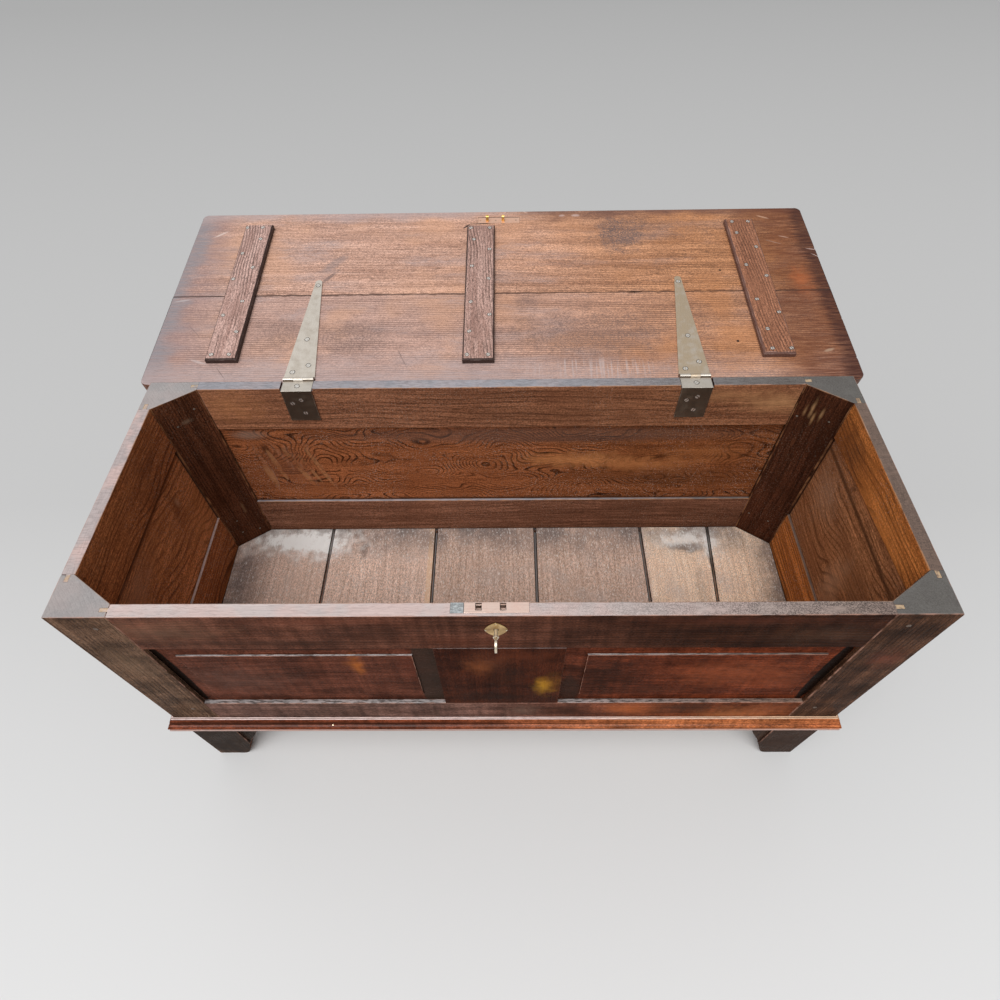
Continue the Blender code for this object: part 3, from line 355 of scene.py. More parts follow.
SPOT = build_spot()
ARRIS_WEAR = build_arris_wear()
DUST = build_dust()
print("groups:", [group.name for group in bpy.data.node_groups])

# %% [markdown]
# ## Starting and ending a finish
# Every finish begins alike: its place on the object, the same place turned so that the grain runs along
# the first axis, and the marks painted on the mesh. Those marks tell the inside of the chest, the top
# edges and the worn arrises apart, and give each board a number so that no two boards have the same
# figure. It also ends alike, with colour, roughness and relief fed to its shader.

# %% Start and end of a finish
MARKS = "finish_marks"
GRAIN_ORDERS = {"across": "XYZ", "deep": "YXZ", "upright": "ZXY"}


def start_finish(name, grain="across"):
    material = bpy.data.materials.new(name)
    material.use_nodes = True
    tree = material.node_tree
    place = add_node(tree, "TexCoord").outputs["Object"]
    axes = add_node(tree, "SeparateXYZ", {"Vector": place}).outputs
    order = dict(zip("XYZ", (axes[letter] for letter in GRAIN_ORDERS[grain])))
    marks = add_node(tree, "Attribute", attribute_name=MARKS, attribute_type="GEOMETRY").outputs
    painted = add_node(tree, "SeparateColor", {"Color": marks["Color"]}).outputs
    return SimpleNamespace(
        material=material,
        tree=tree,
        shader=tree.nodes["Principled BSDF"],
        place=place,
        grain=add_node(tree, "CombineXYZ", order).outputs["Vector"],
        x=axes["X"],
        y=axes["Y"],
        z=axes["Z"],
        inside=painted["Red"],
        top=painted["Green"],
        arris=painted["Blue"],
        board=marks["Alpha"],
    )


def end_finish(finish, colour, roughness, normal, specular=None):
    for socket, value in (("Base Color", colour), ("Roughness", roughness), ("Normal", normal)):
        feed(finish.tree, finish.shader.inputs[socket], value)
    if specular is not None:
        finish.shader.inputs["Specular IOR Level"].default_value = specular
    return finish.material


print("grain may run", ", ".join(GRAIN_ORDERS))

# %% [markdown]
# Between its start and its end a finish is painted in layers, as a polisher would: a wood tone first,
# then glazes that lay a tint over it where a mask allows. These shorthands place each of the groups in a
# finish.

# %% Groups in a finish
GRAIN_MASKS = ("Rings", "Streaks", "Pores", "Mottle")


def tones(pale, deep, line):
    return {"pale": pale, "deep": deep, "line": line}


def grain_of(finish, spacing, wander, figure=1.0):
    values = {"spacing": spacing, "wander": wander, "figure": figure}
    return use_group(finish.tree, OAK_GRAIN, vector=finish.grain, board=finish.board, **values)


def tone_of(finish, grain, pale, deep, line):
    masks = {name.lower(): grain[name] for name in GRAIN_MASKS}
    return use_group(finish.tree, OAK_TONE, **masks, pale=pale, deep=deep, line=line)["Color"]


def patch_of(finish, size, share, soft=0.12):
    return use_group(finish.tree, PATCH, vector=finish.place, size=size, share=share, soft=soft)["Mask"]


def spot_of(finish, centre, reach, ragged=0.8, turn=0.0, core=0.35):
    shape = {"turn": math.radians(turn), "ragged": ragged, "core": core}
    return use_group(finish.tree, SPOT, vector=finish.place, centre=centre, reach=reach, **shape)["Mask"]


def wear_of(finish, amount):
    return use_group(finish.tree, ARRIS_WEAR, arris=finish.arris, vector=finish.place, amount=amount)["Mask"]


def dust_of(finish, amount):
    return use_group(finish.tree, DUST, vector=finish.place, up=finish.top, amount=amount)["Mask"]


print("a finish can now place grain, tone, patches, spots, wear and dust")

# %% [markdown]
# Three more shorthands work on a whole finish. A texture is noise made into a mask, and a glaze lays a
# thin tint over what is there. The relief sinks the lines and pores of the grain a little, which light
# from the side shows.

# %% Textures, glazes and relief
RELIEF_STRENGTH = 0.7
SUNK_PORES, SUNK_RINGS, SUNK_STREAKS = -0.8, -0.6, -0.5


def texture(finish, scale, detail, start, end, low=0.0, high=1.0):
    """Noise of a scale and a detail, stepped from low at start to high at end."""
    return step(finish.tree, noise(finish.tree, finish.place, scale, detail), start, end, low, high)


def glaze(finish, colour, mask, tint, share=None):
    """Lay a tint over a colour where a mask allows, at a share of its strength."""
    strength = mask if share is None else times(finish.tree, mask, share)
    return mix(finish.tree, strength, colour, tint)


def grain_relief(finish, grain, depth):
    """Bump from the grain: lines and pores sink a little below the fibre."""
    tree = finish.tree
    sunk = calc(tree, "MULTIPLY_ADD", grain["Pores"], SUNK_PORES, times(tree, grain["Rings"], SUNK_RINGS))
    height = calc(tree, "MULTIPLY_ADD", grain["Streaks"], SUNK_STREAKS, sunk)
    bump = {"Height": height, "Strength": RELIEF_STRENGTH, "Distance": depth}
    return add_node(tree, "Bump", bump).outputs["Normal"]


print("relief of the grain at", RELIEF_STRENGTH, "of full strength")

# %% [markdown]
# ## Oak of the carcass
# One board of the carcass shows three finishes at once: dark red varnish outside, brown unvarnished oak
# inside, and a top edge rubbed pale. Three materials with seams between them would need cut faces, so one
# material blends the three by the painted marks. Each finish is given twice, because its tone changes
# from the left end of the chest to the right one. Varnish is streaked where it was wiped and clouded by
# age. Raw oak is pitted and brushed.

# %% Varnish and raw oak
SIDE_FROM, SIDE_TO = -0.15, 0.35
SMEAR_SCALE, CLOUD_SCALE = (90.0, 90.0, 5.0), (11.0, 11.0, 26.0)
PIT_SCALE, GLINT_SCALE, BRUSH_SCALE = (380.0, 460.0, 380.0), (420.0, 520.0, 420.0), (16.0, 360.0, 360.0)
PAINTED_GLINT = (0.56, 0.46, 0.38)
GLINT_SHARE = 0.52


def between_ends(finish, left, right, start=SIDE_FROM, end=SIDE_TO):
    """Tone of the left end passing into that of the right end."""
    return mix(finish.tree, step(finish.tree, finish.x, start, end), left, right)


def varnish_of(finish, masks, outside):
    tree = finish.tree
    colour = between_ends(finish, *(tone_of(finish, masks, **end) for end in outside))
    wiped = texture(finish, SMEAR_SCALE, 4.0, 0.30, 0.74, 0.80, 1.30)
    clouded = texture(finish, CLOUD_SCALE, 4.0, 0.32, 0.68, 0.66, 1.34)
    return scale_vector(tree, colour, times(tree, wiped, clouded))


def raw_of(finish, masks, raw, bold):
    """Unvarnished oak: bold lines, brown shade, dark pits, streaks in its own pale tone and a few painted
    glints.
    """
    tree = finish.tree
    left, right = raw
    colour = between_ends(finish, *(tone_of(finish, masks, **end) for end in raw))
    colour = glaze(finish, colour, masks["Rings"], left["line"], bold)
    shade = between_ends(finish, left["deep"], right["deep"])
    colour = glaze(finish, colour, patch_of(finish, 0.11, 0.42), shade, 0.6)
    colour = glaze(finish, colour, texture(finish, PIT_SCALE, 3.0, 0.53, 0.63), left["line"], 0.45)
    brushed = step(tree, noise(tree, finish.grain, BRUSH_SCALE, 3.0), 0.55, 0.68)
    brushed = times(tree, brushed, patch_of(finish, 0.09, 0.48, 0.12))
    colour = glaze(finish, colour, brushed, left["pale"], 0.55)
    # Painted glints: pale flecks of highlight on the raw oak.
    glints = times(tree, texture(finish, GLINT_SCALE, 2.0, 0.59, 0.67), patch_of(finish, 0.14, 0.50, 0.14))
    return glaze(finish, colour, glints, PAINTED_GLINT, min(GLINT_SHARE, left["pale"][0]))


print("varnish passes into the right end's from", SIDE_FROM, "to", SIDE_TO)

# %% [markdown]
# What is found at one place only is a mark: a stain, a glow where the polish thinned, a scratch, the
# black of a recess. Each is a spot with its own tint. A spot is a ball of a given reach, so one on the
# front would also colour the inside of a thin wall. Its reach through the wall is kept short, and it is
# held to its own side by the painted marks.

# %% Marks at one place
FRONT_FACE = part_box("front_top_rail")[0].y
SKIN = 0.010
GLOW_SPREAD, GLOW_CORE, GLOW_RAGGED = 1.5, -0.2, 1.1
FIRM_RAGGED = 0.2


def marks_on(axis, level, *rows):
    """Marks on an upright face, from rows of place, height, half sizes, tint, share and, if firm, core."""
    made = []
    for along, height, half_length, half_height, *paint in rows:
        if axis == "y":
            made.append(((along, level, height), (half_length, SKIN, half_height), *paint))
        else:
            made.append(((level, along, height), (SKIN, half_length, half_height), *paint))
    return made


def lay_marks(finish, colour, marks):
    tree = finish.tree
    for centre, reach, tint, share, *firm in marks:
        core, spread, ragged = (firm[0], 1.0, FIRM_RAGGED) if firm else (GLOW_CORE, GLOW_SPREAD, GLOW_RAGGED)
        spot = spot_of(finish, centre, Vector(reach) * spread, ragged, core=core)
        within = centre[1] > FRONT_FACE + SKIN
        side = finish.inside if within else calc(tree, "SUBTRACT", 1.0, finish.inside)
        colour = glaze(finish, colour, times(tree, spot, side), tint, share)
    return colour


print("marks reach", SKIN, "m through a wall")

# %% [markdown]
# The top edges are called crowns here. Hands and the lid have rubbed them: pale with pink patches at the
# left, speckled and darker at the right, and cream at the haunches. Their pale grey and pink at the left is
# partly a painted sheen of the bright sky on that side. A haunch is the square shoulder of a tenon that
# shows on top of a post, as a lighter end of the rail.

# %% Rubbed crowns
CROWN_FROM, CROWN_TO = 0.00, 0.58
RUBBED_PINK_SHEEN = (0.66, 0.47, 0.43)
CROWN_SHADE = (0.70, 0.68, 0.69)
CROWN_SPECK = (0.060, 0.048, 0.044)
HAUNCH_PALE = (0.56, 0.40, 0.25)
GRAIN_SCALE, CLUSTER_SCALE, FLECK_SCALE = (760.0, 1100.0, 1100.0), (24.0, 90.0, 90.0), (70.0, 420.0, 420.0)


def crown_tones(left, right, speckle, pinkness, flecks):
    return {"left": left, "right": right, "speckle": speckle, "pinkness": pinkness, "flecks": flecks}


def crown_of(finish, masks, haunch, left, right, speckle, pinkness, flecks):
    tree = finish.tree
    # Rubbed wood, with a painted sheen that makes the left end paler than the right.
    colour = between_ends(finish, left, right, CROWN_FROM, CROWN_TO)
    colour = mix(tree, times(tree, masks["Streaks"], 0.4), colour, CROWN_SHADE, "MULTIPLY")
    towards_left = step(tree, finish.x, CROWN_TO, CROWN_FROM)
    pink = times(tree, patch_of(finish, 0.045, 0.48, 0.10), towards_left)
    # Pink patches at the left: rubbing and painted sheen.
    colour = glaze(finish, colour, pink, RUBBED_PINK_SHEEN, pinkness)
    grains = texture(finish, GRAIN_SCALE, 3.0, 0.40, 0.60)
    clusters = texture(finish, CLUSTER_SCALE, 3.0, 0.25, 0.50)
    towards_right = step(tree, finish.x, SIDE_FROM, CROWN_TO, 0.06, 1.0)
    colour = glaze(finish, colour, times(tree, grains, clusters, speckle, towards_right), CROWN_SPECK)
    colour = glaze(finish, colour, texture(finish, FLECK_SCALE, 4.0, 0.46, 0.60), CROWN_SPECK, flecks)
    if haunch is None:
        return colour
    axis, middle, half = haunch
    away = away_from(tree, finish.x if axis == "x" else finish.y, middle)
    bared = times(tree, step(tree, away, half, half + 0.001), patch_of(finish, 0.006, 0.56, 0.20))
    return glaze(finish, colour, bared, HAUNCH_PALE, 0.85)


print("crowns darken from", CROWN_FROM, "to", CROWN_TO)

# %% [markdown]
# The whole finish of a carcass board is these layers in order: varnish or raw oak, marks, crown, worn
# arrises, dust. A moulding's bead faces up too, but it kept its varnish, so it can be left out of the
# crown by its height.

# %% Carcass oak
PLAIN_LINES = (0.0065, 7.0, 1.0)
BARE_OUTSIDE, BARE_INSIDE = (0.50, 0.27, 0.20), (0.46, 0.22, 0.10)
DUST_COLOUR = (0.66, 0.62, 0.57)
POLISH_SPECULAR = 0.006
COAT_SHARE, COAT_ROUGHNESS = 0.3, 0.22


def carcass_oak(
    name, grain, outside, raw, crown, haunch=None, lines=PLAIN_LINES, marks=(), bold=0.0, rub=0.60, bead=None
):
    finish = start_finish(name, grain)
    tree = finish.tree
    masks = grain_of(finish, *lines)
    colour = mix(tree, finish.inside, varnish_of(finish, masks, outside), raw_of(finish, masks, raw, bold))
    colour = lay_marks(finish, colour, marks)
    # What faces up gets the crown: rubbed wood with a painted sheen.
    rubbed = finish.top
    if bead is not None:
        level, half = bead
        rubbed = times(tree, rubbed, step(tree, away_from(tree, finish.z, level), half, half + 0.0005))
    colour = mix(tree, rubbed, colour, crown_of(finish, masks, haunch, **crown))
    bare = mix(tree, finish.inside, BARE_OUTSIDE, BARE_INSIDE)
    colour = glaze(finish, colour, wear_of(finish, 0.50), bare, rub)
    colour = glaze(finish, colour, times(tree, dust_of(finish, 0.25), finish.inside), DUST_COLOUR, 0.9)
    feed(tree, finish.shader.inputs["Coat Weight"], times(tree, finish.top, COAT_SHARE))
    finish.shader.inputs["Coat Roughness"].default_value = COAT_ROUGHNESS
    gloss = step(tree, patch_of(finish, 0.05, 0.5, 0.3), 0.0, 1.0, 0.22, 0.36)
    dry = calc(tree, "MAXIMUM", finish.inside, times(tree, finish.top, 0.75))
    rough = calc(tree, "MULTIPLY_ADD", dry, 0.28, gloss)
    return end_finish(finish, colour, rough, grain_relief(finish, masks, 0.0006), POLISH_SPECULAR)


print("carcass finish defined, plain lines", PLAIN_LINES[0], "m apart")

# %% [markdown]
# ## Rails
# The top edge of the front rail is the palest and goes speckled at the right, where the polish has broken
# up. Its face is brown at the left and nearly black at the right. The sill below the panels is red at its
# right, where painted highlights lie too. Every tone is three colours: pale fibre, deep fibre and dark line.

# %% Rail tones
RAIL_OUTSIDE = (
    tones((0.138, 0.052, 0.032), (0.086, 0.031, 0.018), (0.045, 0.017, 0.010)),
    tones((0.042, 0.0135, 0.006), (0.026, 0.008, 0.004), (0.015, 0.006, 0.003)),
)
RAIL_RAW = (
    tones((0.46, 0.200, 0.108), (0.22, 0.088, 0.046), (0.055, 0.022, 0.013)),
    tones((0.46, 0.200, 0.100), (0.21, 0.082, 0.040), (0.050, 0.020, 0.012)),
)
SILL_RAW = (
    tones((0.36, 0.165, 0.100), (0.19, 0.080, 0.046), (0.070, 0.028, 0.016)),
    tones((0.27, 0.120, 0.072), (0.13, 0.054, 0.030), (0.050, 0.020, 0.012)),
)
SILL_OUTSIDE = (
    tones((0.160, 0.085, 0.066), (0.100, 0.050, 0.038), (0.050, 0.025, 0.018)),
    tones((0.200, 0.050, 0.018), (0.105, 0.027, 0.010), (0.050, 0.014, 0.006)),
)
END_RAIL_RAW = (
    tones((0.60, 0.220, 0.084), (0.32, 0.108, 0.039), (0.085, 0.030, 0.013)),
    tones((0.74, 0.262, 0.070), (0.38, 0.124, 0.032), (0.070, 0.024, 0.009)),
)
FRONT_CROWN = crown_tones(
    (0.62, 0.535, 0.515), (0.310, 0.230, 0.195), speckle=0.95, pinkness=0.50, flecks=0.0
)
REAR_CROWN = crown_tones(
    (0.35, 0.345, 0.375), (0.17, 0.152, 0.138), speckle=0.55, pinkness=0.15, flecks=0.25
)
SILL_CROWN = crown_tones(
    (0.360, 0.330, 0.325), (0.28, 0.180, 0.135), speckle=0.50, pinkness=0.15, flecks=0.85
)
END_CROWN = crown_tones(
    (0.50, 0.425, 0.415), (0.21, 0.145, 0.115), speckle=0.55, pinkness=0.65, flecks=0.2
)
print("rail tones:", len(RAIL_OUTSIDE + RAIL_RAW + SILL_RAW + SILL_OUTSIDE + END_RAIL_RAW))

# %% [markdown]
# Each row of marks below gives a place along the rail, a height, half a length, half a height, a tint and
# how strongly it covers. Without a last number a mark is a soft glow, and with one it is firm out to that
# share of its reach.

# %% Rail marks
REAR_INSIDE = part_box("rear_top_rail")[0].y
RIGHT_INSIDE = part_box("right_top_rail")[0].x
FRONT_RAIL_MARKS = marks_on(
    "y", FRONT_FACE,
    (-0.475, 0.612, 0.100, 0.034, (0.190, 0.100, 0.060), 0.50),
    (-0.330, 0.572, 0.190, 0.014, (0.042, 0.018, 0.011), 0.75),
    (-0.180, 0.605, 0.090, 0.022, (0.040, 0.016, 0.010), 0.65),
    (-0.240, 0.640, 0.120, 0.012, (0.150, 0.045, 0.026), 0.45),
    (-0.060, 0.575, 0.080, 0.022, (0.130, 0.034, 0.015), 0.40),
    (0.330, 0.638, 0.160, 0.012, (0.110, 0.030, 0.016), 0.45),
    (0.460, 0.590, 0.090, 0.030, (0.075, 0.036, 0.020), 0.55),
)
SILL_MARKS = marks_on(
    "y", FRONT_FACE,
    (0.225, 0.285, 0.060, 0.030, (0.400, 0.105, 0.030), 0.75),
    # These two orange rows are painted highlights near the sill's right end.
    (0.420, 0.250, 0.080, 0.040, (0.500, 0.170, 0.060), 0.50),
    (0.475, 0.285, 0.050, 0.030, (0.300, 0.085, 0.034), 0.50),
    (0.320, 0.285, 0.060, 0.030, (0.050, 0.020, 0.012), 0.90),
    (0.110, 0.270, 0.060, 0.030, (0.036, 0.014, 0.008), 0.90),
    (0.040, 0.275, 0.030, 0.026, (0.170, 0.110, 0.080), 0.45),
)
REAR_RAIL_MARKS = marks_on(
    "y", REAR_INSIDE,
    # The first two rows are painted highlights near the right end.
    (0.488, 0.612, 0.060, 0.026, (0.640, 0.340, 0.160), 0.70),
    (0.400, 0.630, 0.080, 0.018, (0.520, 0.260, 0.120), 0.55),
    (-0.480, 0.610, 0.070, 0.050, (0.520, 0.220, 0.090), 0.55),
    (0.020, 0.585, 0.200, 0.020, (0.090, 0.035, 0.018), 0.45),
)
END_RAIL_MARKS = marks_on(
    "x", RIGHT_INSIDE,
    (-0.120, 0.600, 0.075, 0.060, (0.110, 0.042, 0.020), 0.70),
    (-0.290, 0.590, 0.110, 0.050, (0.640, 0.230, 0.060), 0.55),
) + marks_on("x", -RIGHT_INSIDE, (-0.150, 0.600, 0.080, 0.070, (0.120, 0.042, 0.020), 0.50))
print("rail marks:", len(FRONT_RAIL_MARKS + SILL_MARKS + REAR_RAIL_MARKS + END_RAIL_MARKS))

# %% [markdown]
# The rails differ in how their grain runs and bows, and in where a haunch shows. The end rails run from
# front to back, so their grain is turned that way. The lines of the rear and end rails bow more, as in
# boards sawn along the rings. Where the posts and the rails meet is read from the solids, so the haunches
# stay in place if a size changes.

# %% Rail finishes
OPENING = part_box("post_front_right")[0].x
END_RAIL_FROM, END_RAIL_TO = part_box("post_front_left")[1].y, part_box("post_rear_left")[0].y
END_MIDDLE = (END_RAIL_FROM + END_RAIL_TO) / 2
ALONG_FRONT = ("x", 0.0, OPENING)
ALONG_END = ("y", END_MIDDLE, (END_RAIL_TO - END_RAIL_FROM) / 2)
ARCHED_LINES, END_LINES = (0.0075, 9.0, 1.6), (0.0080, 14.0, 2.4)

FRONT_RAIL_OAK = carcass_oak(
    "front_rail_oak", "across", RAIL_OUTSIDE, RAIL_RAW, FRONT_CROWN, ALONG_FRONT, marks=FRONT_RAIL_MARKS
)
SILL_OAK = carcass_oak("sill_oak", "across", SILL_OUTSIDE, SILL_RAW, SILL_CROWN, marks=SILL_MARKS)
REAR_SILL_OAK = carcass_oak(
    "rear_sill_oak", "across", RAIL_OUTSIDE, SILL_RAW, REAR_CROWN, lines=ARCHED_LINES
)
REAR_RAIL_OAK = carcass_oak(
    "rear_rail_oak", "across", RAIL_OUTSIDE, RAIL_RAW, REAR_CROWN, ALONG_FRONT, ARCHED_LINES, REAR_RAIL_MARKS
)
END_RAIL_OAK = carcass_oak(
    "end_rail_oak", "deep", RAIL_OUTSIDE, END_RAIL_RAW, END_CROWN, ALONG_END, END_LINES, END_RAIL_MARKS,
    bold=0.45,
)
print("opening of the chest", round(2 * OPENING, 3), "by", round(END_RAIL_TO - END_RAIL_FROM, 3), "m")

# %% [markdown]
# ## Posts and feet
# Posts are darker inside than the rails, with a few pale scratches where things were dragged past them.
# The scratches lie on the slanted inner faces of the rear posts, so these marks are given whole: a centre
# and a reach along all three axes. Beside the front panels the posts drop back into a recess that light
# hardly enters, which is painted black as shade, and their feet are black, partly as painted shade under
# the moulding.

# %% Post and foot finishes
POST_OUTSIDE = (
    tones((0.145, 0.082, 0.050), (0.080, 0.042, 0.025), (0.026, 0.013, 0.008)),
    tones((0.088, 0.040, 0.022), (0.046, 0.020, 0.011), (0.016, 0.007, 0.004)),
)
POST_RAW = (
    tones((0.150, 0.054, 0.026), (0.062, 0.022, 0.011), (0.020, 0.008, 0.005)),
    tones((0.105, 0.036, 0.018), (0.046, 0.016, 0.008), (0.016, 0.006, 0.004)),
)
# The feet are nearly black, partly as painted shade under the moulding.
FOOT_OUTSIDE = (
    tones((0.036, 0.024, 0.018), (0.018, 0.011, 0.008), (0.009, 0.006, 0.004)),
    tones((0.062, 0.034, 0.022), (0.030, 0.016, 0.011), (0.012, 0.007, 0.005)),
)
POST_CROWN = crown_tones(
    (0.380, 0.355, 0.350), (0.150, 0.142, 0.132), speckle=0.35, pinkness=0.12, flecks=0.0
)
RECESS_SHADE_BLACK = (0.006, 0.004, 0.003)
RECESS_IN, RECESS_DEEP = 0.005, 0.007
POST_MARKS = [
    ((0.560, -0.0425, 0.606), (0.0030, 0.003, 0.016), (0.420, 0.250, 0.120), 0.80),
    ((0.546, -0.0328, 0.612), (0.0030, 0.003, 0.020), (0.460, 0.270, 0.130), 0.85),
    ((0.552, -0.0369, 0.592), (0.0024, 0.003, 0.018), (0.420, 0.240, 0.110), 0.80),
    ((0.538, -0.0273, 0.600), (0.0024, 0.003, 0.014), (0.400, 0.230, 0.110), 0.75),
    ((-0.548, -0.0342, 0.330), (0.0030, 0.003, 0.020), (0.260, 0.150, 0.075), 0.75),
    ((-0.556, -0.0397, 0.600), (0.0120, 0.012, 0.006), (0.260, 0.190, 0.130), 0.60),
    ((-0.566, FRONT_FACE, 0.490), (0.030, 0.02, 0.060), (0.180, 0.110, 0.066), 0.50),
    ((0.578, FRONT_FACE, 0.506), (0.026, 0.02, 0.034), (0.200, 0.056, 0.032), 0.55),
    # The last two rows darken the feet under the moulding, partly as painted shade.
    ((-0.566, FRONT_FACE, 0.100), (0.090, 0.100, 0.125), (0.020, 0.013, 0.010), 0.85, 0.6),
    ((0.566, FRONT_FACE, 0.100), (0.090, 0.100, 0.125), (0.040, 0.021, 0.014), 0.80, 0.6),
]
# Painted shade: black in the recess beside each front panel.
for side in (RECESS_IN - OPENING, OPENING - RECESS_IN):
    recess = (side, FRONT_FACE + RECESS_DEEP, 0.434)
    POST_MARKS.append((recess, (0.0052, 0.030, 0.140), RECESS_SHADE_BLACK, 1.00, 0.9))

POST_OAK = carcass_oak("post_oak", "upright", POST_OUTSIDE, POST_RAW, POST_CROWN, marks=POST_MARKS)
FOOT_OAK = carcass_oak("foot_oak", "upright", FOOT_OUTSIDE, POST_RAW, POST_CROWN)
print("post finishes made, marks:", len(POST_MARKS))

# %% [markdown]
# ## Front panels and muntin
# A fielded panel has a raised middle and a sunk margin that runs into the grooves of the frame. The
# middle is red and glows in places where the polish thinned. The margin holds shade and old wax, so firm
# dark marks line it.

# %% Front panel finish
FRONT_PANEL_OUTSIDE = (
    tones((0.120, 0.038, 0.022), (0.074, 0.022, 0.012), (0.040, 0.013, 0.007)),
    tones((0.140, 0.029, 0.010), (0.080, 0.0165, 0.006), (0.040, 0.010, 0.005)),
)
PANEL_RAW = (
    tones((0.52, 0.180, 0.072), (0.30, 0.098, 0.038), (0.012, 0.004, 0.002)),
    tones((0.36, 0.125, 0.045), (0.19, 0.060, 0.021), (0.012, 0.004, 0.002)),
)
PANEL_CROWN = crown_tones(
    (0.330, 0.295, 0.290), (0.140, 0.100, 0.080), speckle=0.40, pinkness=0.12, flecks=0.80
)
PANEL_LINES = (0.009, 9.0, 1.0)
FIELD_DEEP = 0.005
FRONT_PANEL_MARKS = marks_on(
    "y", FRONT_FACE + FIELD_DEEP,
    (-0.222, 0.477, 0.011, 0.034, (0.520, 0.150, 0.028), 0.75),
    (-0.228, 0.484, 0.014, 0.020, (0.260, 0.080, 0.022), 0.50),
    (-0.430, 0.420, 0.100, 0.060, (0.150, 0.076, 0.056), 0.40),
    (-0.130, 0.470, 0.030, 0.060, (0.150, 0.034, 0.018), 0.50),
    (0.370, 0.440, 0.110, 0.050, (0.320, 0.080, 0.030), 0.60),
    (0.460, 0.400, 0.050, 0.034, (0.230, 0.060, 0.026), 0.45),
    (0.165, 0.430, 0.085, 0.070, (0.018, 0.007, 0.004), 0.90),
    (0.250, 0.370, 0.090, 0.022, (0.050, 0.018, 0.010), 0.60),
) + marks_on(
    "y", FRONT_FACE + RECESS_DEEP,
    (-0.300, 0.545, 0.300, 0.019, (0.034, 0.017, 0.012), 0.80, 0.6),
    (-0.115, 0.430, 0.022, 0.200, (0.034, 0.021, 0.015), 0.88, 0.85),
    (0.115, 0.352, 0.024, 0.090, (0.030, 0.015, 0.010), 0.80, 0.5),
    # Black painted shade in the recesses at both ends of the panels.
    (0.515, 0.430, 0.013, 0.150, RECESS_SHADE_BLACK, 0.97, 0.75),
    (-0.519, 0.430, 0.010, 0.150, RECESS_SHADE_BLACK, 0.97, 0.75),
)
FRONT_PANEL_OAK = carcass_oak(
    "front_panel_oak", "across", FRONT_PANEL_OUTSIDE, PANEL_RAW, PANEL_CROWN,
    lines=PANEL_LINES, marks=FRONT_PANEL_MARKS,
)
print("front panel marks:", len(FRONT_PANEL_MARKS))

# %% [markdown]
# The muntin is the wide upright between the panels, darker than both, with a bright yellow spot low at its
# right that is a painted highlight. Its arrises kept most of their varnish, so they are rubbed less than
# those of the frame.

# %% Muntin finish
MUNTIN_OUTSIDE = (
    tones((0.051, 0.0125, 0.005), (0.039, 0.009, 0.0035), (0.030, 0.007, 0.003)),
    tones((0.049, 0.0105, 0.003), (0.037, 0.008, 0.0025), (0.028, 0.006, 0.002)),
)
MUNTIN_MARKS = marks_on(
    "y", FRONT_FACE,
    (-0.031, 0.480, 0.022, 0.032, (0.330, 0.098, 0.030), 0.50),
    (-0.018, 0.500, 0.040, 0.034, (0.130, 0.040, 0.018), 0.55),
    # A painted highlight: the yellow spot low at the right, with its glow.
    (0.070, 0.398, 0.015, 0.036, (0.480, 0.235, 0.020), 0.95),
    (0.082, 0.412, 0.018, 0.040, (0.300, 0.120, 0.014), 0.55),
    (0.040, 0.520, 0.060, 0.030, (0.120, 0.030, 0.012), 0.50),
    (-0.010, 0.345, 0.090, 0.030, (0.018, 0.008, 0.005), 0.80),
    (0.012, 0.440, 0.030, 0.050, (0.022, 0.009, 0.005), 0.60),
)
MUNTIN_OAK = carcass_oak(
    "muntin_oak", "upright", MUNTIN_OUTSIDE, RAIL_RAW, PANEL_CROWN, marks=MUNTIN_MARKS, rub=0.25
)
print("muntin marks:", len(MUNTIN_MARKS))

# %% [markdown]
# ## Rear panel
# The big panel at the back was sawn along the rings of the tree and not across them, so its lines close
# into arches: the grain's figure value shortens, along the grain, the noise that bends them. At its left
# something scraped it, which left ridges, and each ridge gets a painted highlight laid as a short row of
# spots. Orange patches at its right are painted sunlight, and a band under its top rail is darkened with
# painted shade and dirt.

# %% Rear panel finish
REAR_LINES = (0.0080, 60.0, 2.9)
PANEL_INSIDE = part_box("rear_panel")[0].y
REAR_PANEL_MARKS = marks_on(
    "y", PANEL_INSIDE,
    # Painted shade and dirt in a band under the top rail.
    (0.070, 0.526, 0.540, 0.030, (0.115, 0.084, 0.074), 0.46, 0.35),
    (-0.475, 0.532, 0.046, 0.018, (0.330, 0.250, 0.200), 0.50, 0.2),
    (0.0, 0.321, 0.900, 0.014, (0.060, 0.025, 0.014), 0.80, 0.5),
    # Painted sunlight: orange patches at the right.
    (0.150, 0.452, 0.120, 0.022, (0.720, 0.310, 0.115), 0.65),
    (0.275, 0.436, 0.100, 0.020, (0.640, 0.260, 0.095), 0.60),
    (0.390, 0.470, 0.080, 0.024, (0.480, 0.180, 0.062), 0.50),
    (0.330, 0.395, 0.140, 0.030, (0.110, 0.042, 0.018), 0.55),
    (-0.425, 0.440, 0.050, 0.062, (0.150, 0.060, 0.036), 0.60),
    (-0.458, 0.490, 0.010, 0.014, (0.020, 0.008, 0.005), 0.95),
)
RIDGES = (
    ((-0.477, 0.490), (-0.466, 0.372)),
    ((-0.440, 0.495), (-0.418, 0.440)),
    ((-0.417, 0.495), (-0.383, 0.385)),
    ((-0.374, 0.490), (-0.344, 0.375)),
)
RIDGE_STEPS = 5
RIDGE_HALF_WIDTH, RIDGE_HALF_STEP = 0.0034, 0.013
# Painted highlight along each ridge.
RIDGE_HIGHLIGHT, RIDGE_SHARE = (0.560, 0.300, 0.190), 0.26


def between(first, second, share):
    return first + (second - first) * share


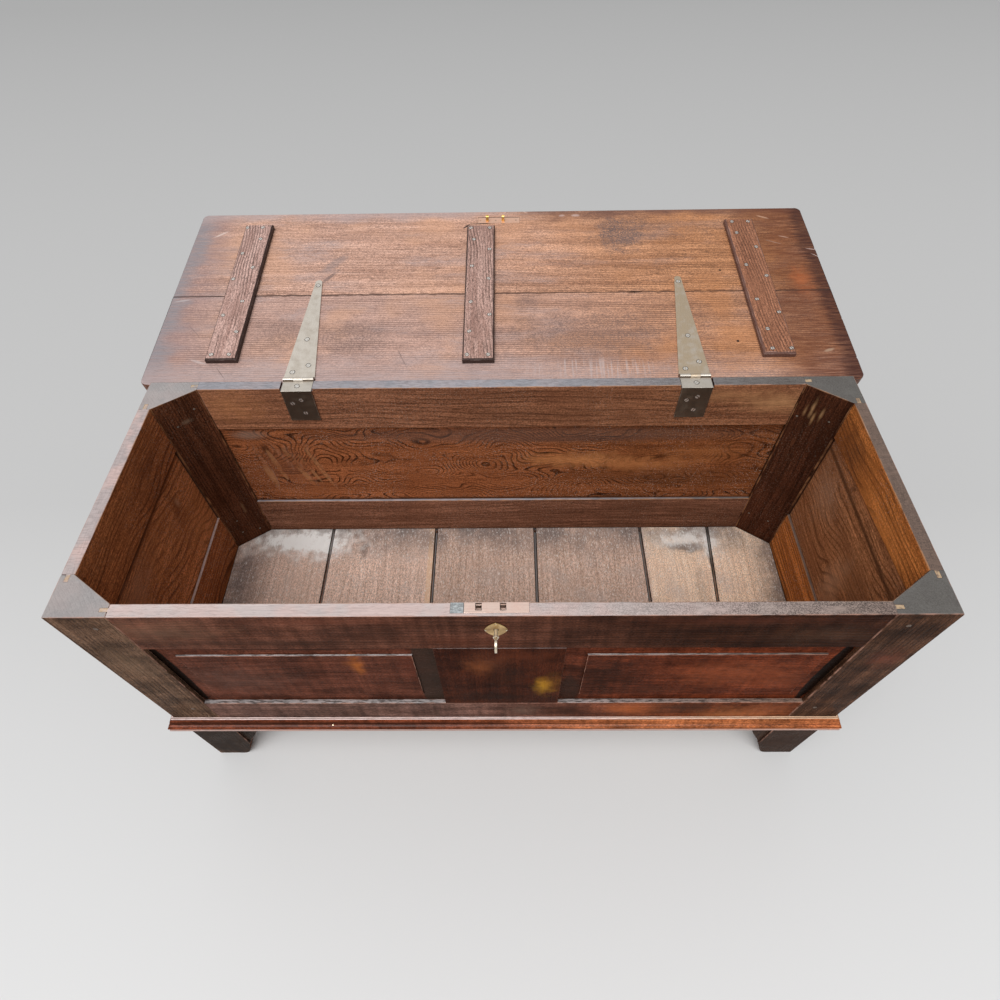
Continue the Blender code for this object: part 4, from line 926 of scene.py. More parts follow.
for (top_x, top_z), (low_x, low_z) in RIDGES:
    for share in (number / (RIDGE_STEPS - 1) for number in range(RIDGE_STEPS)):
        x, z = between(top_x, low_x, share), between(top_z, low_z, share)
        bit = (x, z, RIDGE_HALF_WIDTH, RIDGE_HALF_STEP, RIDGE_HIGHLIGHT, RIDGE_SHARE)
        REAR_PANEL_MARKS += marks_on("y", PANEL_INSIDE, bit)

REAR_PANEL_OAK = carcass_oak(
    "rear_panel_oak", "across", FRONT_PANEL_OUTSIDE, PANEL_RAW, REAR_CROWN,
    lines=REAR_LINES, marks=REAR_PANEL_MARKS, bold=0.75,
)
print("rear panel marks:", len(REAR_PANEL_MARKS))

# %% [markdown]
# ## End panels
# The end panels look warmer than the rear one. A dark line of shade lies along each under its top rail,
# and here and there a pale or a dark patch breaks up the oak.

# %% End panel finish
END_PANEL_LINES = (0.010, 18.0, 2.8)
END_PANEL_RAW = (
    tones((0.74, 0.295, 0.120), (0.43, 0.160, 0.060), (0.105, 0.038, 0.016)),
    tones((0.56, 0.245, 0.110), (0.29, 0.116, 0.050), (0.075, 0.028, 0.013)),
)
LEFT_PANEL_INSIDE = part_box("left_panel")[1].x
END_PANEL_MARKS = marks_on(
    "x", LEFT_PANEL_INSIDE,
    (END_MIDDLE, 0.540, 0.500, 0.011, (0.050, 0.020, 0.010), 0.80, 0.2),
    (-0.140, 0.470, 0.020, 0.045, (0.120, 0.045, 0.020), 0.60),
    (-0.130, 0.480, 0.006, 0.012, (0.560, 0.320, 0.190), 0.60),
    (-0.330, 0.500, 0.070, 0.040, (0.560, 0.300, 0.190), 0.45),
    (-0.110, 0.380, 0.050, 0.060, (0.640, 0.260, 0.100), 0.45),
) + marks_on(
    "x", -LEFT_PANEL_INSIDE,
    (-0.120, 0.480, 0.050, 0.060, (0.560, 0.330, 0.210), 0.40),
    (-0.260, 0.400, 0.030, 0.070, (0.660, 0.380, 0.230), 0.45),
    (-0.330, 0.440, 0.080, 0.060, (0.170, 0.070, 0.030), 0.55),
    (END_MIDDLE, 0.542, 0.500, 0.008, (0.060, 0.026, 0.013), 0.70, 0.2),
)
END_PANEL_OAK = carcass_oak(
    "end_panel_oak", "deep", FRONT_PANEL_OUTSIDE, END_PANEL_RAW, REAR_CROWN,
    lines=END_PANEL_LINES, marks=END_PANEL_MARKS, bold=0.40,
)
print("end panel marks:", len(END_PANEL_MARKS))

# %% [markdown]
# ## Mouldings
# The base moulding is a fillet at the bottom, a bead, and an ovolo under a narrow shelf. Only the shelf
# and the bottom fillet are pale, a painted highlight of their gloss. The hollow under the ovolo and a thin
# line under the shelf are painted dark as shade, and the bead between is red. The right end of the
# moulding is a brighter orange, partly a painted highlight. All of these lie at one height right round the
# chest, so each is a mark that is very long and very flat.

# %% Moulding finishes
# The right end's bright orange is partly a painted highlight.
MOULDING_OUTSIDE = (
    tones((0.200, 0.050, 0.022), (0.100, 0.026, 0.012), (0.030, 0.010, 0.006)),
    tones((0.500, 0.165, 0.062), (0.280, 0.080, 0.028), (0.090, 0.025, 0.010)),
)
# Painted highlight on the shelf and the fillet, which face up.
MOULDING_CROWN_HIGHLIGHT = crown_tones(
    (0.88, 0.700, 0.660), (0.96, 0.640, 0.420), speckle=0.25, pinkness=0.25, flecks=0.25
)
MOULDING_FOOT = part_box("base_moulding_front")[0].z
BEAD = (MOULDING_FOOT + 0.0112, 0.0068)
ALL_ROUND = 9.0
GROOVE_SHADE = (0.022, 0.009, 0.006)
FILLET_HIGHLIGHT = (0.560, 0.420, 0.380)
# Painted shade in the hollow under the ovolo and under the shelf, and a painted highlight on the bottom
# fillet.
MOULDING_MARKS = (
    ((-0.45, FRONT_FACE, MOULDING_FOOT + 0.0235), (0.80, ALL_ROUND, 0.0068), GROOVE_SHADE, 0.72, 0.45),
    ((0.0, FRONT_FACE, MOULDING_FOOT + 0.0348), (ALL_ROUND, ALL_ROUND, 0.0014), GROOVE_SHADE, 0.80, 0.50),
    ((0.0, FRONT_FACE, MOULDING_FOOT + 0.0022), (ALL_ROUND, ALL_ROUND, 0.0032), FILLET_HIGHLIGHT, 0.70, 0.60),
)
MOULDING_OAK, END_MOULDING_OAK = (
    carcass_oak(name, grain, MOULDING_OUTSIDE, RAIL_RAW, MOULDING_CROWN_HIGHLIGHT, marks=MOULDING_MARKS, bead=BEAD)
    for name, grain in (("moulding_oak", "across"), ("end_moulding_oak", "deep"))
)
print("bead kept red from", round(BEAD[0] - BEAD[1], 4), "to", round(BEAD[0] + BEAD[1], 4))

# %% [markdown]
# ## Oak of the lid
# What faces the camera is the lid's underside: pinkish oak at the left that turns to a strong orange at
# the right, gone grey-lilac along the edges where it was handled and where a painted sheen lies, and
# nearly black-red at the right end.
# Stains lie in several places, with scratches and two worm holes. They are spots at their own places,
# broken up by a fine noise so that they look soaked in and not painted on. The rows give a centre, half
# sizes and a share, and a line also its turn and its tint.

# %% Lid tones and marks
LID_JOINT_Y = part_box("lid_board_front")[0].y
LID_DEEP = 0.05
LID_LEFT = tones((0.760, 0.470, 0.360), (0.480, 0.270, 0.195), (0.180, 0.092, 0.068))
LID_RIGHT = tones((0.640, 0.305, 0.150), (0.350, 0.150, 0.068), (0.110, 0.042, 0.020))
LID_OUTSIDE = tones((0.200, 0.078, 0.044), (0.110, 0.040, 0.022), (0.045, 0.017, 0.010))
LID_STAIN = (0.165, 0.105, 0.092)
LID_STAINS = (
    ((-0.400, 0.120, 0.66), 0.085, 0.050, 0.48),
    ((-0.270, 0.115, 0.66), 0.080, 0.058, 0.55),
    ((0.160, 0.120, 0.66), 0.190, 0.075, 0.55),
    ((0.245, 0.400, 0.68), 0.062, 0.070, 0.95),
    ((0.350, 0.420, 0.68), 0.120, 0.050, 0.35),
    ((0.050, 0.200, 0.67), 0.030, 0.030, 0.45),
)
LID_LINES = (
    ((-0.338, 0.274, 0.672), 0.026, 0.0060, 0.65, -52, (0.150, 0.105, 0.100)),
    ((-0.329, 0.318, 0.676), 0.045, 0.0140, 0.50, -50, (0.240, 0.190, 0.190)),
    ((-0.176, 0.063, 0.654), 0.032, 0.0010, 0.65, 66, (0.160, 0.110, 0.100)),
    ((-0.495, 0.028, 0.651), 0.024, 0.0010, 0.65, 52, (0.160, 0.110, 0.100)),
    ((-0.570, 0.135, 0.660), 0.038, 0.0009, 0.60, 48, (0.200, 0.140, 0.130)),
    ((-0.582, 0.413, 0.684), 0.020, 0.0040, 0.80, -38, (0.700, 0.560, 0.500)),
    ((-0.610, 0.215, 0.668), 0.020, 0.0030, 0.70, -10, (0.480, 0.430, 0.430)),
    ((-0.540, 0.055, 0.653), 0.022, 0.0040, 0.60, 20, (0.560, 0.460, 0.440)),
    ((0.549, 0.449, 0.688), 0.016, 0.0030, 0.80, 25, (0.520, 0.300, 0.200)),
    ((0.588, 0.070, 0.655), 0.014, 0.0042, 0.60, -20, (0.480, 0.330, 0.230)),
    ((0.579, 0.384, 0.682), 0.016, 0.0020, 0.80, 20, (0.460, 0.270, 0.200)),
    ((0.131, 0.462, 0.689), 0.009, 0.0050, 0.65, 0, (0.560, 0.400, 0.360)),
    ((0.159, 0.462, 0.689), 0.013, 0.0060, 0.70, 0, (0.560, 0.400, 0.360)),
    ((0.050, 0.478, 0.690), 0.012, 0.0020, 0.80, 40, (0.620, 0.460, 0.400)),
    ((0.432, 0.285, 0.673), 0.0035, 0.0035, 1.00, 0, (0.020, 0.010, 0.008)),
    ((0.431, 0.094, 0.657), 0.0035, 0.0035, 1.00, 0, (0.020, 0.010, 0.008)),
    ((0.624, 0.345, 0.678), 0.014, 0.0014, 0.85, 12, (0.620, 0.440, 0.390)),
    ((0.628, 0.326, 0.677), 0.012, 0.0012, 0.85, 38, (0.620, 0.470, 0.430)),
    ((0.555, 0.368, 0.680), 0.022, 0.0010, 0.70, 24, (0.420, 0.290, 0.250)),
    # The last two lines are painted shadow in the gap between the link plate and a cleat.
    ((-0.0690, 0.4305, 0.687), 0.0125, 0.0024, 1.00, -44, (0.012, 0.008, 0.008)),
    ((-0.0360, 0.4384, 0.687), 0.0290, 0.0022, 1.00, 0, (0.012, 0.008, 0.008)),
)
print("lid stains:", len(LID_STAINS), "lines:", len(LID_LINES))

# %% [markdown]
# The margins of the lid are where it was lifted for centuries: grey-blue at the left, lilac near and far,
# dark red at the right with one ember where the varnish is still thick. The grey-blue and the lilac are a
# painted sheen over the worn wood. A straight band would look masked off with tape, so waves and a comb of
# noise along the grain fray every edge, and scraping thins the colour.

# %% Lid margins
# The lilac and the grey-blue are painted sheen.
LID_LILAC_SHEEN = (0.440, 0.345, 0.338)
LID_BLUE_SHEEN = (0.270, 0.245, 0.262)
LID_BRUISE = (0.300, 0.195, 0.190)
LID_DARK = (0.055, 0.016, 0.010)
LID_FAR_RED = (0.135, 0.062, 0.048)
LID_RED = (0.130, 0.036, 0.014)
LID_EMBER = (0.460, 0.125, 0.038)
EMBER_PLACE, EMBER_REACH = (0.5865, 0.254, 0.67), (0.034, 0.060, LID_DEEP)
BRUISE_EDGE, BLUE_EDGE = (-0.520, -0.605), (-0.585, -0.628)
RED_EDGE, DARK_EDGE = (0.450, 0.570), (0.594, 0.618)
NEAR_EDGE, FAR_EDGE = (0.075, 0.010), (0.440, 0.480)
WAVE_SCALE, FRAY_SCALE = (14.0, 30.0, 30.0), (18.0, 24.0, 24.0)
COMB_SCALE, SCRAPE_SCALE = (26.0, 420.0, 420.0), (30.0, 420.0, 420.0)


def lid_margins(finish, colour):
    tree = finish.tree
    wave = ripple(tree, finish.place, WAVE_SCALE, 4.0)
    across = calc(tree, "MULTIPLY_ADD", wave, 0.09, finish.x)
    deep = calc(tree, "MULTIPLY_ADD", wave, 0.06, finish.y)
    frayed = calc(tree, "MULTIPLY_ADD", ripple(tree, finish.place, FRAY_SCALE, 5.0), 0.030, finish.x)
    frayed = calc(tree, "MULTIPLY_ADD", ripple(tree, finish.place, COMB_SCALE, 3.0), 0.050, frayed)
    scraped = texture(finish, SCRAPE_SCALE, 3.0, 0.30, 0.66, 1.0, 0.60)
    bruised = times(tree, step(tree, across, *BRUISE_EDGE, 0.0, 0.80), scraped)
    colour = glaze(finish, colour, bruised, LID_BRUISE)
    # Painted sheen: grey-blue along the left edge.
    blued = times(tree, step(tree, across, *BLUE_EDGE, 0.0, 1.0), scraped)
    colour = glaze(finish, colour, blued, LID_BLUE_SHEEN)
    # Painted sheen: lilac along the near and far edges.
    towards_left = times(tree, step(tree, finish.x, 0.45, -0.10, 0.35, 0.85), scraped)
    colour = glaze(finish, colour, times(tree, step(tree, deep, *NEAR_EDGE), towards_left), LID_LILAC_SHEEN)
    far = step(tree, deep, *FAR_EDGE)
    colour = glaze(finish, colour, times(tree, far, step(tree, finish.x, 0.05, -0.10, 0.0, 0.7)), LID_LILAC_SHEEN)
    colour = glaze(finish, colour, times(tree, far, step(tree, finish.x, 0.00, 0.10, 0.0, 0.85)), LID_FAR_RED)
    reddened = times(tree, step(tree, across, *RED_EDGE, 0.0, 0.95), scraped)
    colour = glaze(finish, colour, reddened, LID_RED)
    colour = glaze(finish, colour, spot_of(finish, EMBER_PLACE, EMBER_REACH, 1.2, core=-0.2), LID_EMBER, 0.65)
    return glaze(finish, colour, times(tree, step(tree, frayed, *DARK_EDGE), scraped), LID_DARK)


print("lid margins defined, ember at", EMBER_PLACE[:2])

# %% [markdown]
# The wood of the lid is painted from large to small: the tone of each end, the pinker near board, glowing
# clouds, lilac drifts of painted sheen that follow the fibre, dark specks, ring lines, and last the joint,
# torn open here and there.

# %% Lid wood
LID_SIDE_FROM, LID_SIDE_TO = -0.30, 0.45
LID_PINK = (0.450, 0.310, 0.285)
LID_GLOW_LEFT, LID_GLOW_RIGHT = (0.720, 0.405, 0.260), (0.560, 0.230, 0.085)
LID_DRIFT_SCALE, FIBRE_SCALE = (7.0, 24.0, 24.0), (60.0, 700.0, 700.0)
SPECK_SCALE, SPLIT_SCALE = (420.0, 560.0, 560.0), (45.0, 45.0, 45.0)


def lid_body(finish, masks):
    """Wood of the lid's underside, before anything was spilt on it."""
    tree = finish.tree
    rightness = step(tree, finish.x, LID_SIDE_FROM, LID_SIDE_TO)
    colour = mix(tree, rightness, *(tone_of(finish, masks, **oak) for oak in (LID_LEFT, LID_RIGHT)))
    near_board = step(tree, finish.y, LID_JOINT_Y, LID_JOINT_Y - 0.002)
    pinked = times(tree, near_board, step(tree, finish.x, 0.4, -0.2, 0.15, 0.45))
    colour = glaze(finish, colour, pinked, LID_PINK)
    glow = mix(tree, rightness, LID_GLOW_LEFT, LID_GLOW_RIGHT)
    colour = glaze(finish, colour, patch_of(finish, 0.13, 0.44, 0.10), glow, 0.50)
    # Painted sheen: lilac drifts along the fibre, strongest at the left.
    drifts = texture(finish, LID_DRIFT_SCALE, 5.0, 0.48, 0.68)
    fibres = texture(finish, FIBRE_SCALE, 3.0, 0.36, 0.60, 0.25, 1.0)
    drifts = times(tree, drifts, fibres, step(tree, finish.x, 0.55, -0.35, 0.18, 0.62))
    colour = glaze(finish, colour, drifts, LID_LILAC_SHEEN)
    shade = mix(tree, rightness, LID_LEFT["line"], LID_RIGHT["line"])
    colour = glaze(finish, colour, patch_of(finish, 0.030, 0.36, 0.08), shade, 0.16)
    colour = glaze(finish, colour, texture(finish, SPECK_SCALE, 3.0, 0.52, 0.66), shade, 0.42)
    lines = times(tree, masks["Rings"], step(tree, near_board, 0.0, 1.0, 0.40, 0.75))
    colour = glaze(finish, colour, lines, shade)
    torn = ripple(tree, finish.place, SPLIT_SCALE, 5.0)
    from_joint = calc(tree, "MULTIPLY_ADD", torn, 0.020, calc(tree, "SUBTRACT", finish.y, LID_JOINT_Y))
    split = step(tree, calc(tree, "ABSOLUTE", from_joint), 0.0040, 0.0004)
    return glaze(finish, colour, times(tree, split, patch_of(finish, 0.05, 0.58, 0.15)), shade, 0.80)


print("lid wood defined, joint of its boards at", round(LID_JOINT_Y, 4))

# %% [markdown]
# Over that wood lie the stains, a chalky trace by the hinge side, the margins and the lines. The outside
# of the lid keeps the dark varnish of the front, and so do its rims: the painted mark of what faces up
# tells the two apart. A dark arris draws the joint between the boards.

# %% Lid oak
LID_CHALK = (0.560, 0.450, 0.420)
CHALK_PLACE, CHALK_REACH = (0.17, 0.030, 0.65), (0.16, 0.034, LID_DEEP)
SOAK_SCALE, CHALK_SCALE = (330.0, 420.0, 420.0), (190.0, 9.0, 9.0)
LID_ARRIS = (0.050, 0.028, 0.022)
LID_SPECULAR = 0.30


def lid_oak():
    finish = start_finish("lid_oak", "across")
    tree = finish.tree
    masks = grain_of(finish, 0.0052, 3.5)
    colour = lid_body(finish, masks)
    grit = texture(finish, SOAK_SCALE, 3.0, 0.40, 0.60, 0.22, 1.15)
    for centre, long, wide, share in LID_STAINS:
        stain = times(tree, spot_of(finish, centre, (long, wide, LID_DEEP), 1.5), grit)
        colour = glaze(finish, colour, stain, LID_STAIN, share)
    chalked = texture(finish, CHALK_SCALE, 2.0, 0.48, 0.62)
    chalked = times(tree, chalked, spot_of(finish, CHALK_PLACE, CHALK_REACH, 0.6))
    colour = glaze(finish, colour, chalked, LID_CHALK, 0.60)
    colour = lid_margins(finish, colour)
    for centre, long, wide, share, turn, tint in LID_LINES:
        line = spot_of(finish, centre, (long, wide, LID_DEEP), 0.9, turn)
        colour = glaze(finish, colour, line, tint, share)
    varnish = tone_of(finish, masks, **LID_OUTSIDE)
    varnish = glaze(finish, varnish, patch_of(finish, 0.09, 0.45), LID_OUTSIDE["deep"], 0.6)
    colour = mix(tree, finish.top, varnish, colour)
    colour = glaze(finish, colour, finish.arris, LID_ARRIS, 0.85)
    rough = step(tree, patch_of(finish, 0.07, 0.5, 0.3), 0.0, 1.0, 0.38, 0.52)
    return end_finish(finish, colour, rough, grain_relief(finish, masks, 0.0005), LID_SPECULAR)


LID_OAK = lid_oak()
print("lid finish made with", len(LID_OAK.node_tree.nodes), "nodes")

# %% [markdown]
# ## Cleats, pegs and patch
# The cleats were cut from coarse oak with bold dark lines, the right one redder than the others. Their
# sides are in shade, so what doesn't face up has a dark tone of its own. Pegs and the patch are small and
# need only a plain finish.

# %% Cleat, peg and patch oak
LEFT_CLEAT = tones((0.605, 0.395, 0.340), (0.370, 0.216, 0.180), (0.066, 0.036, 0.030))
DARK_CLEAT = tones((0.540, 0.345, 0.290), (0.330, 0.188, 0.152), (0.060, 0.032, 0.026))
RED_CLEAT = tones((0.400, 0.175, 0.098), (0.260, 0.105, 0.056), (0.095, 0.037, 0.022))
CLEAT_SIDE, RED_CLEAT_SIDE = (0.050, 0.026, 0.021), (0.150, 0.072, 0.054)
CLEAT_BARE = (0.480, 0.360, 0.330)
CLEAT_LINES, SMALL_LINES = (0.0060, 10.0, 2.6), (0.003, 3.0)
PEG_TONES = tones((0.17, 0.11, 0.075), (0.08, 0.048, 0.032), (0.03, 0.02, 0.015))
PATCH_TONES = tones((0.42, 0.44, 0.44), (0.30, 0.32, 0.33), (0.15, 0.15, 0.16))
CLEAT_SPECULAR = 0.30


def streaky(finish, masks, low, high):
    """Roughness that follows the fibre."""
    return step(finish.tree, masks["Streaks"], 0.0, 1.0, low, high)


def cleat_oak(name, oak, side=CLEAT_SIDE):
    finish = start_finish(name, "deep")
    masks = grain_of(finish, *CLEAT_LINES)
    colour = tone_of(finish, masks, **oak)
    colour = glaze(finish, colour, masks["Rings"], oak["line"], 0.5)
    colour = glaze(finish, colour, patch_of(finish, 0.05, 0.42), oak["deep"], 0.45)
    # Painted shade on the sides, which don't face up.
    colour = mix(finish.tree, finish.top, side, colour)
    colour = glaze(finish, colour, wear_of(finish, 0.42), CLEAT_BARE, 0.45)
    relief = grain_relief(finish, masks, 0.0012)
    return end_finish(finish, colour, streaky(finish, masks, 0.42, 0.58), relief, CLEAT_SPECULAR)


def plain_oak(name, grain, oak, rough):
    finish = start_finish(name, grain)
    masks = grain_of(finish, *SMALL_LINES)
    clouds = patch_of(finish, 0.012, 0.45)
    colour = glaze(finish, tone_of(finish, masks, **oak), clouds, oak["deep"], 0.5)
    relief = grain_relief(finish, masks, 0.0004)
    return end_finish(finish, colour, streaky(finish, masks, rough, rough + 0.15), relief)


CLEAT_OAK = {
    "cleat_left": cleat_oak("dark_cleat_oak", LEFT_CLEAT),
    "cleat_centre": cleat_oak("bold_cleat_oak", DARK_CLEAT),
    "cleat_right": cleat_oak("red_cleat_oak", RED_CLEAT, RED_CLEAT_SIDE),
}
PEG_OAK = plain_oak("peg_oak", "deep", PEG_TONES, 0.5)
PATCH_OAK = plain_oak("patch_wood", "across", PATCH_TONES, 0.5)
print("finishes of the cleats:", [oak.name for oak in CLEAT_OAK.values()])

# %% [markdown]
# ## Floor boards
# The floor boards are dry, pinkish grey and dusty, and the two at the right are paler. Their joints have
# opened, so a dark arris draws them. One has a pale strip of sapwood along its edge, and the middle ones
# are browner. Where a board begins is read from the solids, so that its tone ends at its joint.

# %% Floor boards
FLOOR_GREY = tones((0.820, 0.590, 0.480), (0.640, 0.450, 0.355), (0.470, 0.310, 0.235))
FLOOR_PALE = tones((0.980, 0.740, 0.550), (0.880, 0.630, 0.450), (0.660, 0.440, 0.300))
FLOOR_ASH, FLOOR_STRIP = (0.560, 0.480, 0.450), (0.860, 0.580, 0.380)
FLOOR_BROWN = (0.160, 0.080, 0.035)
PALE_BOARD_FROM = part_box("floor_board_5")[0].x
PALE_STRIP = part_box("floor_board_2")[1].x


def floor_boards(finish, masks):
    """Tone of the boards: grey, pale from the fifth on, browner in the middle, with a pale strip."""
    tree = finish.tree
    grey, pale = (tone_of(finish, masks, **oak) for oak in (FLOOR_GREY, FLOOR_PALE))
    colour = mix(tree, step(tree, finish.x, PALE_BOARD_FROM, PALE_BOARD_FROM + 0.01), grey, pale)
    colour = glaze(finish, colour, patch_of(finish, 0.10, 0.45, 0.15), FLOOR_GREY["deep"], 0.40)
    colour = glaze(finish, colour, patch_of(finish, 0.055, 0.40, 0.10), FLOOR_ASH, 0.30)
    middle = step(tree, finish.x, PALE_STRIP, PALE_STRIP + 0.002)
    middle = times(tree, middle, step(tree, finish.x, PALE_BOARD_FROM, PALE_BOARD_FROM - 0.002))
    colour = glaze(finish, colour, middle, FLOOR_BROWN, 0.22)
    strip = step(tree, finish.x, PALE_STRIP - 0.014, PALE_STRIP - 0.012)
    strip = times(tree, strip, 0.75, step(tree, finish.x, PALE_STRIP + 0.002, PALE_STRIP))
    return glaze(finish, colour, strip, FLOOR_STRIP)


print("pale boards from", round(PALE_BOARD_FROM, 3), "and pale strip at", round(PALE_STRIP, 3))

# %% [markdown]
# Painted shade darkens the floor along the back and the ends, where the walls shade it. White dust lies in
# a thin haze with thicker heaps in it, because a heap with a hard edge looks like spilt paint. Rows give a
# place, half sizes and a share.

# %% Floor oak
FLOOR_SHADE, FLOOR_GAP = (0.115, 0.100, 0.098), (0.020, 0.014, 0.012)
FLOOR_STAIN, DUST_WHITE = (0.090, 0.060, 0.050), (0.980, 0.970, 0.940)
FLOOR_LEVEL, FLOOR_DEEP = 0.223, 0.03
SHADE_BACK_EDGE, SHADE_END_EDGES = (-0.115, -0.020), ((-0.470, -0.575), (0.515, 0.585))
FLOOR_STAINS = (
    (0.410, -0.072, 0.055, 0.018, 0.75),
    (0.452, -0.105, 0.008, 0.050, 0.60),
    (-0.305, -0.075, 0.012, 0.026, 0.55),
    (0.420, -0.200, 0.018, 0.120, 0.22),
)
FLOOR_DUSTS = (
    (-0.455, -0.052, 0.100, 0.030, 1.0),
    (-0.395, -0.060, 0.046, 0.030, 1.0),
    (0.400, -0.052, 0.060, 0.024, 0.42),
    (0.455, -0.066, 0.022, 0.038, 0.42),
)
DUST_GRAIN_SCALE = (520.0, 200.0, 200.0)
HAZE_SPREAD, HAZE_SHARE, HEAP_SPREAD = 1.9, 0.80, 1.1
FLOOR_SPECULAR = 0.25


def floor_spot(finish, x, y, long, wide, spread=1.0, ragged=1.5, core=0.35):
    reach = Vector((long, wide, FLOOR_DEEP)) * spread
    return spot_of(finish, (x, y, FLOOR_LEVEL), reach, ragged, core=core)


def floor_oak():
    finish = start_finish("floor_oak", "deep")
    tree = finish.tree
    masks = grain_of(finish, 0.014, 8.0)
    colour = floor_boards(finish, masks)
    # Painted shade along the back and the ends of the floor, under the walls.
    back = step(tree, finish.y, *SHADE_BACK_EDGE)
    ends = calc(tree, "MAXIMUM", *(step(tree, finish.x, *edge) for edge in SHADE_END_EDGES))
    edge_shade = times(tree, calc(tree, "MAXIMUM", back, ends), patch_of(finish, 0.05, 0.62, 0.25))
    colour = glaze(finish, colour, edge_shade, FLOOR_SHADE, 0.80)
    for *stain, share in FLOOR_STAINS:
        colour = glaze(finish, colour, floor_spot(finish, *stain, ragged=1.4), FLOOR_STAIN, share)
    grit = times(tree, noise(tree, finish.place, DUST_GRAIN_SCALE, 5.0), 1.5)
    for *dust, share in FLOOR_DUSTS:
        haze = floor_spot(finish, *dust, HAZE_SPREAD, core=-0.2)
        colour = glaze(finish, colour, haze, DUST_WHITE, share * HAZE_SHARE)
        heap = floor_spot(finish, *dust, HEAP_SPREAD, core=0.0)
        grains = step(tree, calc(tree, "ADD", heap, grit), 0.80, 1.55)
        colour = glaze(finish, colour, grains, DUST_WHITE, share)
    colour = glaze(finish, colour, dust_of(finish, 0.10), DUST_COLOUR, 0.55)
    colour = glaze(finish, colour, finish.arris, FLOOR_GAP)
    relief = grain_relief(finish, masks, 0.0006)
    return end_finish(finish, colour, streaky(finish, masks, 0.55, 0.75), relief, FLOOR_SPECULAR)


FLOOR_OAK = floor_oak()
print("floor finish made, stains:", len(FLOOR_STAINS), "dusts:", len(FLOOR_DUSTS))

# %% [markdown]
# ## Metal
# The hinges are old brassy steel, dulled and scratched along their length, the link plates are coppery
# brass, and the screws are brighter, because a screwdriver keeps them so. All use one function: fine
# scratches, a tarnish cloud that makes the metal darker and rougher, and bare bright edges. What faces
# away from the light inside the chest is far darker than what hands rub, so a metal may have a painted
# shade for its upright faces.

# %% Metal finishes
SCRATCH_SCALE, RUST_SCALE = (25.0, 900.0, 900.0), (700.0, 700.0, 700.0)
SCRATCH_RELIEF = {"Strength": 0.35, "Distance": 0.0002}


def old_metal(name, bright, tarnished, share, rough, grain="deep", upright=None, right=None):
    finish = start_finish(name, grain)
    tree = finish.tree
    cloud = patch_of(finish, 0.016, share, 0.2)
    scratch = step(tree, noise(tree, finish.grain, SCRATCH_SCALE, 2.0), 0.35, 0.65)
    shine = bright if right is None else between_ends(finish, bright, right)
    colour = mix(tree, cloud, shine, tarnished)
    colour = glaze(finish, colour, scratch, tarnished, 0.25)
    colour = glaze(finish, colour, texture(finish, RUST_SCALE, 2.0, 0.62, 0.72), tarnished, 0.35)
    # Painted shade on the faces that don't look up.
    if upright is not None:
        colour = mix(tree, finish.top, upright, colour)
    colour = glaze(finish, colour, wear_of(finish, 0.5), shine, 0.7)
    feed(tree, finish.shader.inputs["Metallic"], step(tree, cloud, 0.0, 1.0, 0.80, 0.60))
    dull = calc(tree, "MULTIPLY_ADD", cloud, 0.16, rough)
    dull = calc(tree, "MULTIPLY_ADD", scratch, 0.08, dull)
    relief = add_node(tree, "Bump", {"Height": scratch, **SCRATCH_RELIEF}).outputs["Normal"]
    return end_finish(finish, colour, dull, relief)


STRAP_STEEL = old_metal(
    "strap_steel", (0.86, 0.79, 0.70), (0.52, 0.46, 0.39), 0.42, 0.40, right=(0.66, 0.52, 0.36)
)
PLATE_STEEL = old_metal(
    "angle_plate_steel", (0.80, 0.74, 0.66), (0.50, 0.45, 0.38), 0.40, 0.36, "across",
    upright=(0.160, 0.122, 0.090),
)
LOCK_STEEL = old_metal("lock_steel", (0.32, 0.30, 0.28), (0.14, 0.12, 0.11), 0.5, 0.45, "across")
COPPER_BRASS = old_metal("copper_brass", (0.98, 0.64, 0.48), (0.80, 0.46, 0.32), 0.40, 0.40, "across")
CASE_BRASS = old_metal(
    "lock_case_brass", (0.98, 0.76, 0.66), (0.76, 0.52, 0.44), 0.40, 0.36, "across",
    upright=(0.120, 0.080, 0.055),
)
PRONG_BRASS = old_metal("prong_brass", (0.88, 0.60, 0.20), (0.50, 0.28, 0.06), 0.4, 0.26, "upright")
ESCUTCHEON_BRASS = old_metal("escutcheon_brass", (0.72, 0.50, 0.22), (0.34, 0.21, 0.085), 0.5, 0.32, "across")
PIN_BRASS = old_metal("pin_brass", (0.98, 0.86, 0.62), (0.66, 0.50, 0.28), 0.3, 0.22)
KEY_STEEL = old_metal("key_steel", (0.90, 0.80, 0.64), (0.52, 0.42, 0.28), 0.4, 0.26)
SCREW_STEEL = old_metal("screw_steel", (0.98, 0.95, 0.90), (0.66, 0.60, 0.52), 0.30, 0.26)
NAIL_IRON = old_metal("nail_iron", (0.52, 0.48, 0.42), (0.20, 0.17, 0.14), 0.5, 0.45)
RIM_SHADE_IRON = old_metal("rim_shade_iron", (0.16, 0.13, 0.11), (0.07, 0.055, 0.045), 0.5, 0.5)
print("finish of the straps:", STRAP_STEEL.name, "and of the screws:", SCREW_STEEL.name)

# %% [markdown]
# ## Copies with worn arrises
# A solid straight from the drawing has edges as sharp as glass. Real oak never has: its arrises are
# rubbed round and catch the light as thin bright lines. A bevel modifier would also round the edges in
# grooves and corners that no hand reaches, so the edges are chosen and bevelled in edit mode. First each
# solid is copied, and its loose triangles are merged into whole faces.

# %% Copying a solid
WELD = 0.00002
FLAT = math.radians(0.4)


def work_on(piece):
    """Make one object the only selected one, and the active one."""
    bpy.ops.object.select_all(action="DESELECT")
    piece.select_set(True)
    bpy.context.view_layer.objects.active = piece


